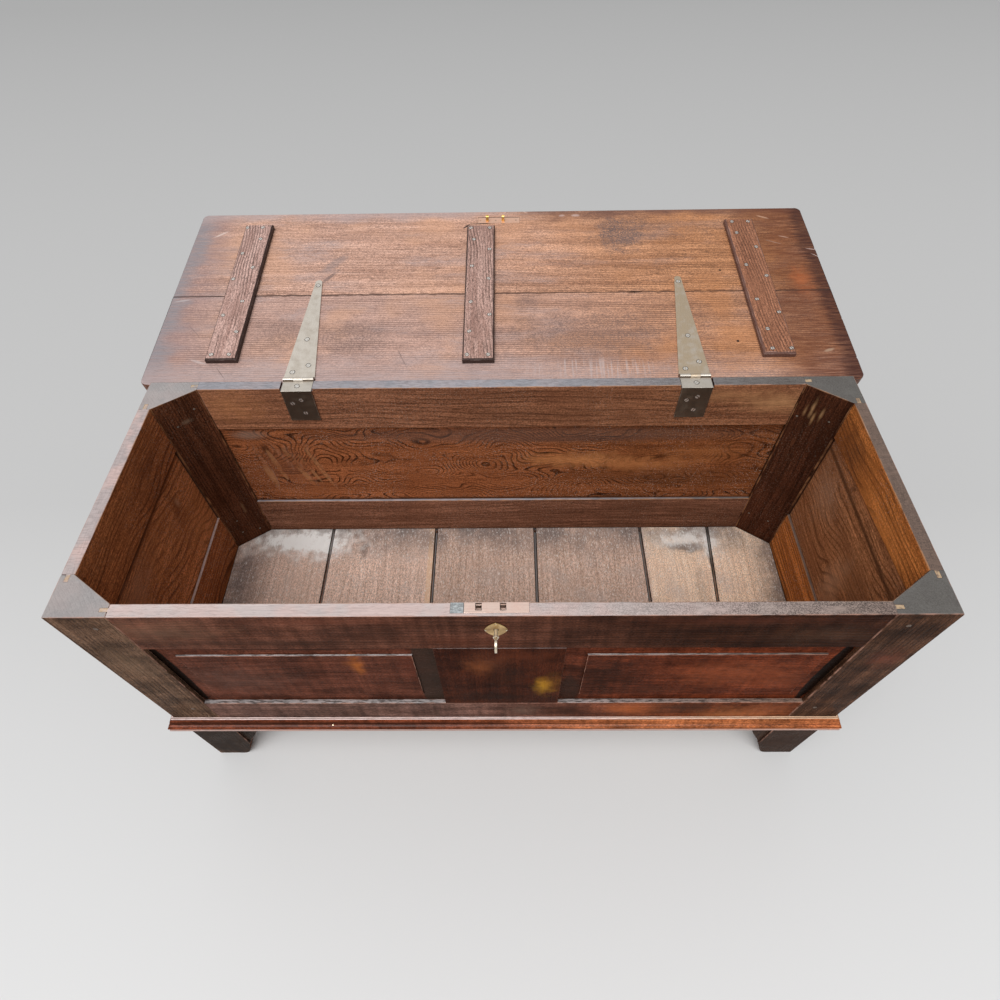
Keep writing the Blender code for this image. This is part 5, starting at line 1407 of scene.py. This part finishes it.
def merged_copy(node):
    piece = bpy.data.objects.new("worn_" + node, frame["nodes"][node].data.copy())
    bpy.context.scene.collection.objects.link(piece)
    piece.data.materials.clear()
    work_on(piece)
    bpy.ops.mesh.customdata_custom_splitnormals_clear()
    bpy.ops.object.mode_set(mode="EDIT")
    bpy.ops.mesh.select_all(action="SELECT")
    bpy.ops.mesh.remove_doubles(threshold=WELD)
    bpy.ops.mesh.dissolve_limited(angle_limit=FLAT)
    bpy.ops.mesh.select_all(action="DESELECT")
    bpy.ops.object.mode_set(mode="OBJECT")
    return piece


print("points closer than", WELD, "m are merged")

# %% [markdown]
# Which edges are arrises can be measured: their two faces turn sharply, they stand out and don't lie in a
# corner, and they are long enough to be rubbed. Shading is smoothed by angle, with corners weighted so
# that flat faces stay flat.

# %% Choosing arrises
SHARP, SMOOTH = math.radians(28), math.radians(50)


def select_arrises(mesh, shortest):
    """Select the sharp edges that stand out and are long enough to be rubbed."""
    sides = {}
    for part in (*mesh.vertices, *mesh.polygons):
        part.select = False
    for face in mesh.polygons:
        for key in face.edge_keys:
            sides.setdefault(key, []).append(face)
    for edge in mesh.edges:
        pair = sides.get(tuple(sorted(edge.vertices)), ())
        start, end = (mesh.vertices[index].co for index in edge.vertices)
        edge.select = False
        if len(pair) == 2 and (end - start).length >= shortest:
            turn = pair[0].normal.angle(pair[1].normal, 0)
            stands_out = (pair[1].center - pair[0].center).dot(pair[0].normal) < 0
            edge.select = turn > SHARP and stands_out


def smooth(piece):
    """Smooth shading that leaves flat faces flat: corners are weighted by the size of their faces."""
    work_on(piece)
    bpy.ops.object.shade_smooth_by_angle(angle=SMOOTH)
    weighted = piece.modifiers.new("weighted", "WEIGHTED_NORMAL")
    weighted.keep_sharp = True
    bpy.ops.object.modifier_apply(modifier=weighted.name)


print("edges that turn more than", round(math.degrees(SHARP)), "degrees are rubbed")

# %% [markdown]
# The finishes need to know where they are: inside the chest, on top, or on an arris. A material can't
# tell, so each face is painted once, in a colour attribute that no one sees. A face is inside if it looks
# towards the middle of the chest from behind the middle of its wall.

# %% Painting the marks
PANEL_DEPTH = 0.0115
WALL_DEPTH = Vector((PANEL_DEPTH, PANEL_DEPTH, 0))
INTERIOR_MIDDLE = (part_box("floor_board_3")[0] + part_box("floor_board_3")[1]) / 2
INSIDE_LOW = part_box("post_front_left")[0] + WALL_DEPTH
INSIDE_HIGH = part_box("post_rear_right")[1] - WALL_DEPTH
LOOKS_IN, LOOKS_UP = 0.2, 0.8


def is_inside(face):
    inward = (INTERIOR_MIDDLE - face.center).to_2d().normalized().dot(face.normal.to_2d())
    within = all(INSIDE_LOW[axis] < face.center[axis] < INSIDE_HIGH[axis] for axis in (0, 1))
    return within and inward > LOOKS_IN


def paint_marks(piece, board, rubbed):
    """Paint each face: red inside the chest, green on top, blue on an arris, and the board's number."""
    mesh = piece.data
    marks = mesh.attributes.new(MARKS, "FLOAT_COLOR", "CORNER")
    for face in mesh.polygons:
        marked = (float(is_inside(face)), float(face.normal.z > LOOKS_UP), float(face.index in rubbed), board)
        for corner in face.loop_indices:
            marks.data[corner].color = marked


print("inside of the chest starts", PANEL_DEPTH, "m behind its faces")

# %% [markdown]
# Some wear is too deep for paint: gouges in the rear panel, a gap in the lid's joint, chips at its edge.
# Each is cut with a stretched ball by a Boolean. The cut comes before the bevel, while the faces are
# still few and large.

# %% Hollows
ARRIS_SLOT = 1
BALL = {"segments": 24, "ring_count": 12, "radius": 1.0}


def cut_away(piece, cutter):
    """Take a cutter's shape out of a piece, with the cut faces in the second slot, and remove the cutter."""
    for material in piece.data.materials:
        cutter.data.materials.append(material)
    for face in cutter.data.polygons:
        face.material_index = ARRIS_SLOT
    work_on(piece)
    cut = piece.modifiers.new("cut", "BOOLEAN")
    cut.operation = "DIFFERENCE"
    cut.object = cutter
    bpy.ops.object.modifier_apply(modifier=cut.name)
    bpy.data.objects.remove(cutter)


def scoop_out(piece, centre, reach, turn):
    bpy.ops.object.select_all(action="DESELECT")
    bpy.ops.mesh.primitive_uv_sphere_add(**BALL)
    ball = bpy.context.object
    shape = Matrix.Diagonal((*reach, 1.0))
    ball.data.transform(Matrix.Translation(centre) @ Matrix.Rotation(math.radians(turn), 4, "Y") @ shape)
    cut_away(piece, ball)


print("hollows are cut with a ball of", BALL["segments"], "by", BALL["ring_count"], "faces")

# %% [markdown]
# One function now does all of it for a solid: copy, cut, bevel, paint and smooth. The bevel, like the
# cut, puts its new faces in a material slot of their own, which tells what is arris. The copy then takes
# the solid's place.

# %% Dressing a solid
ARRIS_SHORTEST = 0.025
draw = random.Random(1856)


def dress(node, material, width, shortest=ARRIS_SHORTEST, hollows=()):
    """Worn copy of a CAD node, which stands for it and rides on its body."""
    piece = merged_copy(node)
    piece.data.materials.append(material)
    piece.data.materials.append(material)
    for hollow in hollows:
        scoop_out(piece, *hollow)
    select_arrises(piece.data, shortest)
    bpy.ops.object.mode_set(mode="EDIT")
    bpy.ops.mesh.select_mode(type="EDGE")
    bpy.ops.mesh.bevel(
        offset=width, segments=2, profile=0.5, affect="EDGES", clamp_overlap=False, material=ARRIS_SLOT
    )
    bpy.ops.object.mode_set(mode="OBJECT")
    rubbed = {face.index for face in piece.data.polygons if face.material_index == ARRIS_SLOT}
    for index in rubbed:
        piece.data.polygons[index].material_index = 0
    piece.data.materials.pop(index=ARRIS_SLOT)
    paint_marks(piece, draw.random(), rubbed)
    smooth(piece)
    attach(piece, frame["nodes"][node]["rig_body"])
    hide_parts(node)
    return piece


print("solids waiting to be dressed:", len(frame["nodes"]))

# %% [markdown]
# ## Dressing the carcass
# With the copying done by one function, dressing is a list: which solids, which finish, and how far the
# arrises are rubbed. Posts and rails are rubbed most, because hands and lids touch them, and panels
# least. The gouges in the rear panel are rows of place, height, half sizes across, deep and along, and
# their lean in degrees.

# %% Carcass pieces
ENDS = ("left", "right")
FRAME_RUB, FRONT_RUB, BRACKET_RUB, MUNTIN_RUB = 0.0016, 0.0014, 0.0012, 0.0004
FIELD_RUB, END_PANEL_RUB, REAR_PANEL_RUB, FLOOR_RUB = 0.0006, 0.0005, 0.0008, 0.0018
SMALL_RUB, PATCH_RUB = 0.0006, 0.0005
PATCH_EDGE, PEG_EDGE = 0.008, 0.001
GOUGES = (
    (-0.470, 0.430, 0.0085, 0.0026, 0.060, -5),
    (-0.447, 0.442, 0.0060, 0.0022, 0.050, -10),
    (-0.405, 0.434, 0.0065, 0.0025, 0.065, -17),
    (-0.386, 0.436, 0.0040, 0.0020, 0.058, -17),
    (-0.364, 0.434, 0.0050, 0.0025, 0.064, -15),
)
REAR_HOLLOWS = [((x, PANEL_INSIDE, z), reach, lean) for x, z, *reach, lean in GOUGES]

for end in ENDS:
    dress(f"post_front_{end}", POST_OAK, FRAME_RUB)
    dress(f"post_rear_{end}", POST_OAK, FRAME_RUB)
    for rail in ("top", "bottom"):
        dress(f"{end}_{rail}_rail", END_RAIL_OAK, FRAME_RUB)
    dress(f"front_panel_{end}", FRONT_PANEL_OAK, FIELD_RUB)
    dress(f"{end}_panel", END_PANEL_OAK, END_PANEL_RUB)
    dress(f"foot_bracket_{end}", FOOT_OAK, BRACKET_RUB)
    dress(f"base_moulding_{end}", END_MOULDING_OAK, SMALL_RUB)
dress("front_top_rail", FRONT_RAIL_OAK, FRONT_RUB)
dress("front_bottom_rail", SILL_OAK, FRONT_RUB)
dress("rear_top_rail", REAR_RAIL_OAK, FRAME_RUB)
dress("rear_bottom_rail", REAR_SILL_OAK, FRAME_RUB)
dress("front_muntin", MUNTIN_OAK, MUNTIN_RUB)
dress("rear_panel", REAR_PANEL_OAK, REAR_PANEL_RUB, hollows=REAR_HOLLOWS)
dress("base_moulding_front", MOULDING_OAK, SMALL_RUB)
dress("rail_patch", PATCH_OAK, PATCH_RUB, PATCH_EDGE)
for name in sorted(frame["nodes"]):
    if name.startswith("floor_board_"):
        dress(name, FLOOR_OAK, FLOOR_RUB)
    elif name.startswith("peg_"):
        dress(name, PEG_OAK, SMALL_RUB, PEG_EDGE)

# %% [markdown]
# ## Dressing the lid and the metal
# The lid's boards already have rounded rims, so only their joint is bevelled, which draws it as a dark
# line. It has opened to a small lens at one place, cut out of both boards, and the right edge has lost
# four chips. Metal edges are rubbed about a third of a millimetre, enough to catch a highlight. What
# hardly shows keeps its solid and gets a finish.

# %% Lid and metal pieces
CLEAT_RUB, HINGE_RUB, BRASS_RUB = 0.0007, 0.0004, 0.0003
CLEAT_EDGE, HINGE_EDGE, FINE_EDGE = 0.02, 0.004, 0.0015
JOINT_GAP = ((0.258, LID_JOINT_Y, 0.668), (0.016, 0.0022, 0.008), 0)
LID_HOLLOWS = {
    "front": (
        JOINT_GAP,
        ((0.636, 0.348, 0.672), (0.005, 0.0050, 0.030), 0),
        ((0.635, 0.323, 0.668), (0.003, 0.0035, 0.030), 0),
    ),
    "rear": (
        JOINT_GAP,
        ((0.636, 0.149, 0.655), (0.004, 0.0045, 0.030), 0),
        ((0.636, 0.052, 0.647), (0.005, 0.0040, 0.030), 0),
    ),
}
for board, hollows in LID_HOLLOWS.items():
    dress(f"lid_board_{board}", LID_OAK, FRONT_RUB, hollows=hollows)
for name, oak in CLEAT_OAK.items():
    dress(name, oak, CLEAT_RUB, CLEAT_EDGE)
for end in ENDS:
    dress(f"hinge_strap_{end}", STRAP_STEEL, HINGE_RUB, HINGE_EDGE)
    dress(f"hinge_plate_{end}", PLATE_STEEL, HINGE_RUB, HINGE_EDGE)
HASP = dress("hasp_plate", COPPER_BRASS, BRASS_RUB, HINGE_EDGE)
dress("lock_case", CASE_BRASS, BRASS_RUB, HINGE_EDGE)
dress("escutcheon", ESCUTCHEON_BRASS, BRASS_RUB, FINE_EDGE)
dress("key", KEY_STEEL, BRASS_RUB, FINE_EDGE)
for name in ("lock_cap", "lock_bolt", "lock_spring", "hinge_pin_left", "hinge_pin_right"):
    node = frame["nodes"][name]
    node.data.materials.clear()
    node.data.materials.append(LOCK_STEEL if name.startswith("lock") else STRAP_STEEL)

# %% [markdown]
# ## Screws
# Slotted screws hold the cleats, the straps, the angle plates and the link plate. One function models a
# head of any size: a short cylinder whose top is inset and raised to a low dome, with a slot cut across
# it by a Boolean. Its rim and its slot are painted dark as shade. Heads that meet another leaf when the
# lid is shut lie nearly flush, and the others stand a little proud. Pins and nails are the same head
# without a slot.

# %% Screw heads
HEAD_SIDES = 28
HEAD_DEPTH = 0.8
DOME_STEPS = (0.22, 0.30)
SLOT_SHARES = Vector((2.4, 0.30, 0.56))
RIM_FROM = 0.85
PIN, NAIL, SMALL, MEDIUM, LARGE = 0.0015, 0.0022, 0.0018, 0.0043, 0.0050
FLUSH, PROUD = 0.0002, 0.0004


def model_head(radius, rise, slotted=True):
    """Head of a wood screw, or of a pin if it has no slot, facing up at the origin and sunk below it."""
    depth = radius * HEAD_DEPTH
    bpy.context.tool_settings.mesh_select_mode = (False, False, True)
    bpy.ops.object.select_all(action="DESELECT")
    bpy.ops.mesh.primitive_cylinder_add(vertices=HEAD_SIDES, radius=radius, depth=depth)
    head = bpy.context.object
    head.data.transform(Matrix.Translation((0, 0, rise / 2 - depth / 2)))
    for face in head.data.polygons:
        face.select = face.normal.z > LOOKS_UP
    bpy.ops.object.mode_set(mode="EDIT")
    for share in DOME_STEPS:
        bpy.ops.mesh.inset(thickness=radius * share)
        bpy.ops.transform.translate(value=(0, 0, rise / 4))
    bpy.ops.object.mode_set(mode="OBJECT")
    # Painted shade: the rim takes the dark iron, and so does the slot when it is cut.
    for face in head.data.polygons:
        face.material_index = int(face.center.to_2d().length > radius * RIM_FROM)
    head.data.materials.append(SCREW_STEEL)
    head.data.materials.append(RIM_SHADE_IRON)
    if slotted:
        bpy.ops.object.select_all(action="DESELECT")
        bpy.ops.mesh.primitive_cube_add(size=1, scale=SLOT_SHARES * radius)
        cut_away(head, bpy.context.object)
    smooth(head)
    return head


HEADS = {
    PIN: model_head(PIN, PROUD, slotted=False),
    NAIL: model_head(NAIL, PROUD, slotted=False),
    SMALL: model_head(SMALL, FLUSH),
    MEDIUM: model_head(MEDIUM, PROUD),
    LARGE: model_head(LARGE, FLUSH),
}
print("heads:", {radius: len(head.data.polygons) for radius, head in HEADS.items()})

# %% [markdown]
# A head is copied to every place with its slot turned by chance, as a screwdriver leaves it. The copies
# on one piece are joined, each with a mesh of its own, and get the painted marks that their metal reads.

# %% Placing heads
def put_heads(name, radius, places, body, material=SCREW_STEEL):
    """Copies of a head at the given matrices, joined as one piece."""
    copies = []
    for place in places:
        copy = HEADS[radius].copy()
        copy.data = HEADS[radius].data.copy()
        copy.data.transform(place @ Matrix.Rotation(draw.uniform(0, math.pi), 4, "Z"))
        bpy.context.scene.collection.objects.link(copy)
        copies.append(copy)
    piece = copies[0]
    work_on(piece)
    for copy in copies:
        copy.select_set(True)
    if len(copies) > 1:
        bpy.ops.object.join()
    piece.name = name
    paint_marks(piece, draw.random(), ())
    piece.data.materials[0] = material
    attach(piece, body)


print("heads to copy:", len(HEADS))

# %% [markdown]
# Places on the lid are easiest to give as it lies when shut, measured from the hinge axis, and then
# turned back with it. The hinge joint holds both the axis and how far the lid opens.

# %% Places on the lid
LID_HINGE = next(joint for joint in frame["joints"] if joint["name"] == "lid_hinge")
LID_TURN = Matrix.Rotation(-math.radians(LID_HINGE["range_deg"][1]), 4, "X")
LID_FRAME = Matrix.Translation(LID_HINGE["pos_m"]) @ LID_TURN
FACE_DOWN = Matrix.Rotation(math.pi, 4, "X")


def on_lid(x, reach, level):
    """Place of a head under the lid, by its distance from the hinge."""
    return LID_FRAME @ Matrix.Translation((x, -reach, level)) @ FACE_DOWN


def lid_points(node):
    """Points of a piece of the lid, from the hinge axis, as it lies when shut."""
    back = LID_FRAME.inverted()
    return [back @ vertex.co for vertex in frame["nodes"][node].data.vertices]


def breadth(points, start, end):
    """Middle and half width of the points between two distances from the hinge."""
    across = [point.x for point in points if start <= -point.y <= end]
    return (min(across) + max(across)) / 2, (max(across) - min(across)) / 2


print("lid opens by", LID_HINGE["range_deg"][1], "degrees about", [round(v, 4) for v in LID_HINGE["pos_m"]])

# %% [markdown]
# The cleats taper, so a screw's place on one is given by shares: how far it lies from the far end to the
# near one, and how far aside, as a share of half the width there. The rows are uneven, because the screws
# were set by eye.

# %% Cleat screws
CLEAT_END_INSET = 0.011
CLEAT_SCREWS = {
    "cleat_left": (
        (0, -0.80), (0, 0.32), (0.103, 0.39), (0.228, -0.60), (0.347, 0.41), (0.441, -0.70),
        (0.617, 0.37), (0.721, -0.64), (0.842, 0.55), (1, -0.63), (1, 0.49),
    ),
    "cleat_centre": (
        (0, -0.72), (0, 0.64), (0.103, -0.48), (0.190, 0.64), (0.332, -0.57), (0.437, 0.60),
        (0.619, -0.57), (0.716, 0.68), (0.837, -0.60), (1, -0.70), (1, 0.62),
    ),
    "cleat_right": (
        (0, -0.55), (0, 0.60), (0.100, -0.45), (0.225, 0.60), (0.375, -0.47), (0.465, 0.66),
        (0.647, -0.46), (0.745, 0.70), (0.865, -0.37), (1, -0.44), (1, 0.74),
    ),
}
for name, screws in CLEAT_SCREWS.items():
    points = lid_points(name)
    far, near = (limit(-point.y for point in points) for limit in (max, min))
    level = min(point.z for point in points)
    far_end = breadth(points, far - CLEAT_END_INSET * 2, far)
    near_end = breadth(points, near, near + CLEAT_END_INSET * 2)
    places = []
    for share, aside in screws:
        middle, half = (between(*ends, share) for ends in zip(far_end, near_end))
        reach = between(far - CLEAT_END_INSET, near + CLEAT_END_INSET, share)
        places.append(on_lid(middle + aside * half, reach, level))
    put_heads(name + "_screws", MEDIUM, places, "lid")
print("cleat screws:", sum(len(screws) for screws in CLEAT_SCREWS.values()))

# %% [markdown]
# The straps taper to a point, and their screws follow the middle line, except for two near the root that
# sit to either side of it. The angle plates have one screw on top and three on the leaf inside the chest,
# which face forward. All of them lie nearly flush, because the leaves fold together when the lid is shut.

# %% Hinge screws
FORWARD = Matrix.Rotation(math.radians(90), 4, "X")
STRAP_SCREWS = ((0.243, 0.0), (0.098, 0.0), (0.034, 0.012), (0.018, -0.014))
STRAP_ROOT, STRAP_TIP = 0.010, 0.250
PLATE_SCREWS = ((0.024, 0.004), (0.032, -0.013), (0.056, 0.004))
PLATE_TOP_IN, PLATE_TOP_DROP = 0.013, 0.0028
RAIL_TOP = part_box("rear_top_rail")[1].z
for end in ENDS:
    points = lid_points(f"hinge_strap_{end}")
    root = breadth(points, -STRAP_ROOT, STRAP_ROOT)[0]
    tip = breadth(points, STRAP_TIP, 1.0)[0]
    level = min(point.z for point in points if -point.y > STRAP_TIP)
    places = []
    for reach, aside in STRAP_SCREWS:
        middle = between(root, tip, (reach - STRAP_ROOT) / (STRAP_TIP - STRAP_ROOT))
        places.append(on_lid(middle + aside, reach, level))
    put_heads(f"hinge_strap_{end}_screws", LARGE, places, "lid")
    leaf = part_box(f"hinge_plate_{end}")[0].y
    places = [Matrix.Translation((root, leaf + PLATE_TOP_IN, RAIL_TOP - PLATE_TOP_DROP))]
    for drop, aside in PLATE_SCREWS:
        places.append(Matrix.Translation((root + aside, leaf, RAIL_TOP - drop)) @ FORWARD)
    put_heads(f"hinge_plate_{end}_screws", LARGE, places, "carcass")
print("screws in each strap:", len(STRAP_SCREWS), "and in each plate:", len(PLATE_SCREWS) + 1)

# %% [markdown]
# ## Pins, nails and prongs
# Round pins hold the escutcheon round the key, small screws hold the link plate under the lid, and the
# heads of nails show on the slanted inner faces of the rear posts, on the moulding and on one front post.
# The two prongs of the link plate are a yellower brass than the plate, so the faces that stand clear of
# it get a material of their own.

# %% Pins, nails and prongs
ESCUTCHEON_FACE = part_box("escutcheon")[0].y
PINS = ((-0.0180, 0.6143), (0.0108, 0.6143), (-0.0036, 0.6335))
POST_SLANT = 55.4
POST_TURN = 90 - POST_SLANT
POST_NAILS = {
    "left": ((-0.5388, -0.0279, 0.6193), (-0.5702, -0.0495, 0.5967), (-0.5685, -0.0484, 0.3003),
             (-0.5696, -0.0491, 0.2586), (-0.5410, -0.0294, 0.2445)),
    "right": ((0.5315, -0.0228, 0.5833), (0.5737, -0.0519, 0.5983), (0.5342, -0.0247, 0.2843),
              (0.5683, -0.0482, 0.2876)),
}
MOULDING_NAIL, MOULDING_TURN = (-0.3149, -0.4569, 0.2227), Matrix.Rotation(math.radians(29), 4, "X")
FRONT_NAIL = (-0.5409, FRONT_FACE, 0.2458)
HASP_SCREWS = (-0.0411, -0.0090, 0.0335)
HASP_REACH, HASP_LEVEL, PRONG_LEVEL = 0.4419, 0.00295, 0.0025

pins = [Matrix.Translation((x, ESCUTCHEON_FACE, z)) @ FORWARD for x, z in PINS]
put_heads("escutcheon_pins", PIN, pins, "carcass", PIN_BRASS)
for end, nails in POST_NAILS.items():
    turn = Matrix.Rotation(math.radians(POST_TURN if end == "left" else -POST_TURN), 4, "Z") @ FORWARD
    places = [Matrix.Translation(place) @ turn for place in nails]
    put_heads(f"post_{end}_nails", NAIL, places, "carcass", NAIL_IRON)
nail = Matrix.Translation(MOULDING_NAIL) @ MOULDING_TURN
put_heads("moulding_nail", PIN, [nail], "carcass", PIN_BRASS)
nail = Matrix.Translation(FRONT_NAIL) @ FORWARD
put_heads("post_front_nail", PIN, [nail], "carcass", PIN_BRASS)
screws = [on_lid(x, HASP_REACH, HASP_LEVEL) for x in HASP_SCREWS]
put_heads("hasp_screws", SMALL, screws, "lid", COPPER_BRASS)

HASP.data.materials.append(PRONG_BRASS)
for face in HASP.data.polygons:
    if (LID_FRAME.inverted() @ face.center).z < PRONG_LEVEL:
        face.material_index = 1
print("prong faces:", sum(face.material_index == 1 for face in HASP.data.polygons))

# %% [markdown]
# ## Floor
# The coffer stands on a plain pale floor that runs out of the picture, lighter in front than behind. A
# curved backdrop would do the same, but a wide floor whose colour darkens slowly with distance needs no
# bend and shows none.

# %% Stage
GROUND_SIZE = 18.0
GROUND_NEAR, GROUND_MIDDLE, GROUND_FAR = -0.87, 0.22, 4.2
GROUND_PALE, GROUND_MID, GROUND_GREY = 0.715, 0.525, 0.37

bpy.ops.object.select_all(action="DESELECT")
bpy.ops.mesh.primitive_plane_add(size=GROUND_SIZE)
ground = bpy.context.object
ground.name = "studio_floor"
paint = start_finish("studio_floor")


def fade(start, end, low, high):
    limits = {"Value": paint.y, "From Min": start, "From Max": end, "To Min": low, "To Max": high}
    return add_node(paint.tree, "MapRange", limits).outputs["Result"]


shade = times(
    paint.tree,
    fade(GROUND_NEAR, GROUND_MIDDLE, GROUND_PALE, GROUND_MID),
    fade(GROUND_MIDDLE, GROUND_FAR, 1.0, GROUND_GREY / GROUND_MID),
)
grey = add_node(paint.tree, "CombineColor", {"Red": shade, "Green": shade, "Blue": shade}).outputs["Color"]
feed(paint.tree, paint.shader.inputs["Base Color"], grey)
paint.shader.inputs["Roughness"].default_value = 0.9
paint.shader.inputs["Specular IOR Level"].default_value = 0.0
ground.data.materials.append(paint.material)
print("floor", GROUND_SIZE, "m wide, from", GROUND_PALE, "in front to", GROUND_GREY, "behind")

# %% [markdown]
# ## Light
# Lamps close to the floor would leave bright pools on it, so the light comes from far off: a sky that is
# brighter to the left, which lays the sheen on the lid and the top edges, and one soft sun high on the
# same side.

# %% Sky and sun
SKY_SIDE = Vector((-0.80, 0.12, 0.59))
SKY_DIM, SKY_BRIGHT = 0.26, 0.62
SUN_FROM = Vector((-0.14, -0.54, 1.0))
SUN_ENERGY, SUN_SOFT = 2.4, math.radians(50)

bpy.ops.object.light_add(type="SUN", location=(0, 0, 4))
sun = bpy.context.object
sun.data.energy = SUN_ENERGY
sun.data.angle = SUN_SOFT
sun.rotation_euler = SUN_FROM.to_track_quat("Z", "Y").to_euler()
world = bpy.data.worlds.new("studio_air")
bpy.context.scene.world = world
world.use_nodes = True
air = world.node_tree
toward = add_node(air, "TexCoord").outputs["Generated"]
lean = add_node(air, "VectorMath", {0: toward, 1: SKY_SIDE}, operation="DOT_PRODUCT").outputs["Value"]
feed(air, air.nodes["Background"].inputs["Strength"], step(air, lean, -0.3, 1.0, SKY_DIM, SKY_BRIGHT))
air.nodes["Background"].inputs["Color"].default_value = (1.0, 1.0, 1.0, 1.0)
print("sky from", SKY_DIM, "to", SKY_BRIGHT, "and sun of", SUN_ENERGY)

# %% [markdown]
# ## Putting the heads away
# The heads that were copied from are put away.

# %% Putting the heads away
for head in HEADS.values():
    bpy.data.objects.remove(head)
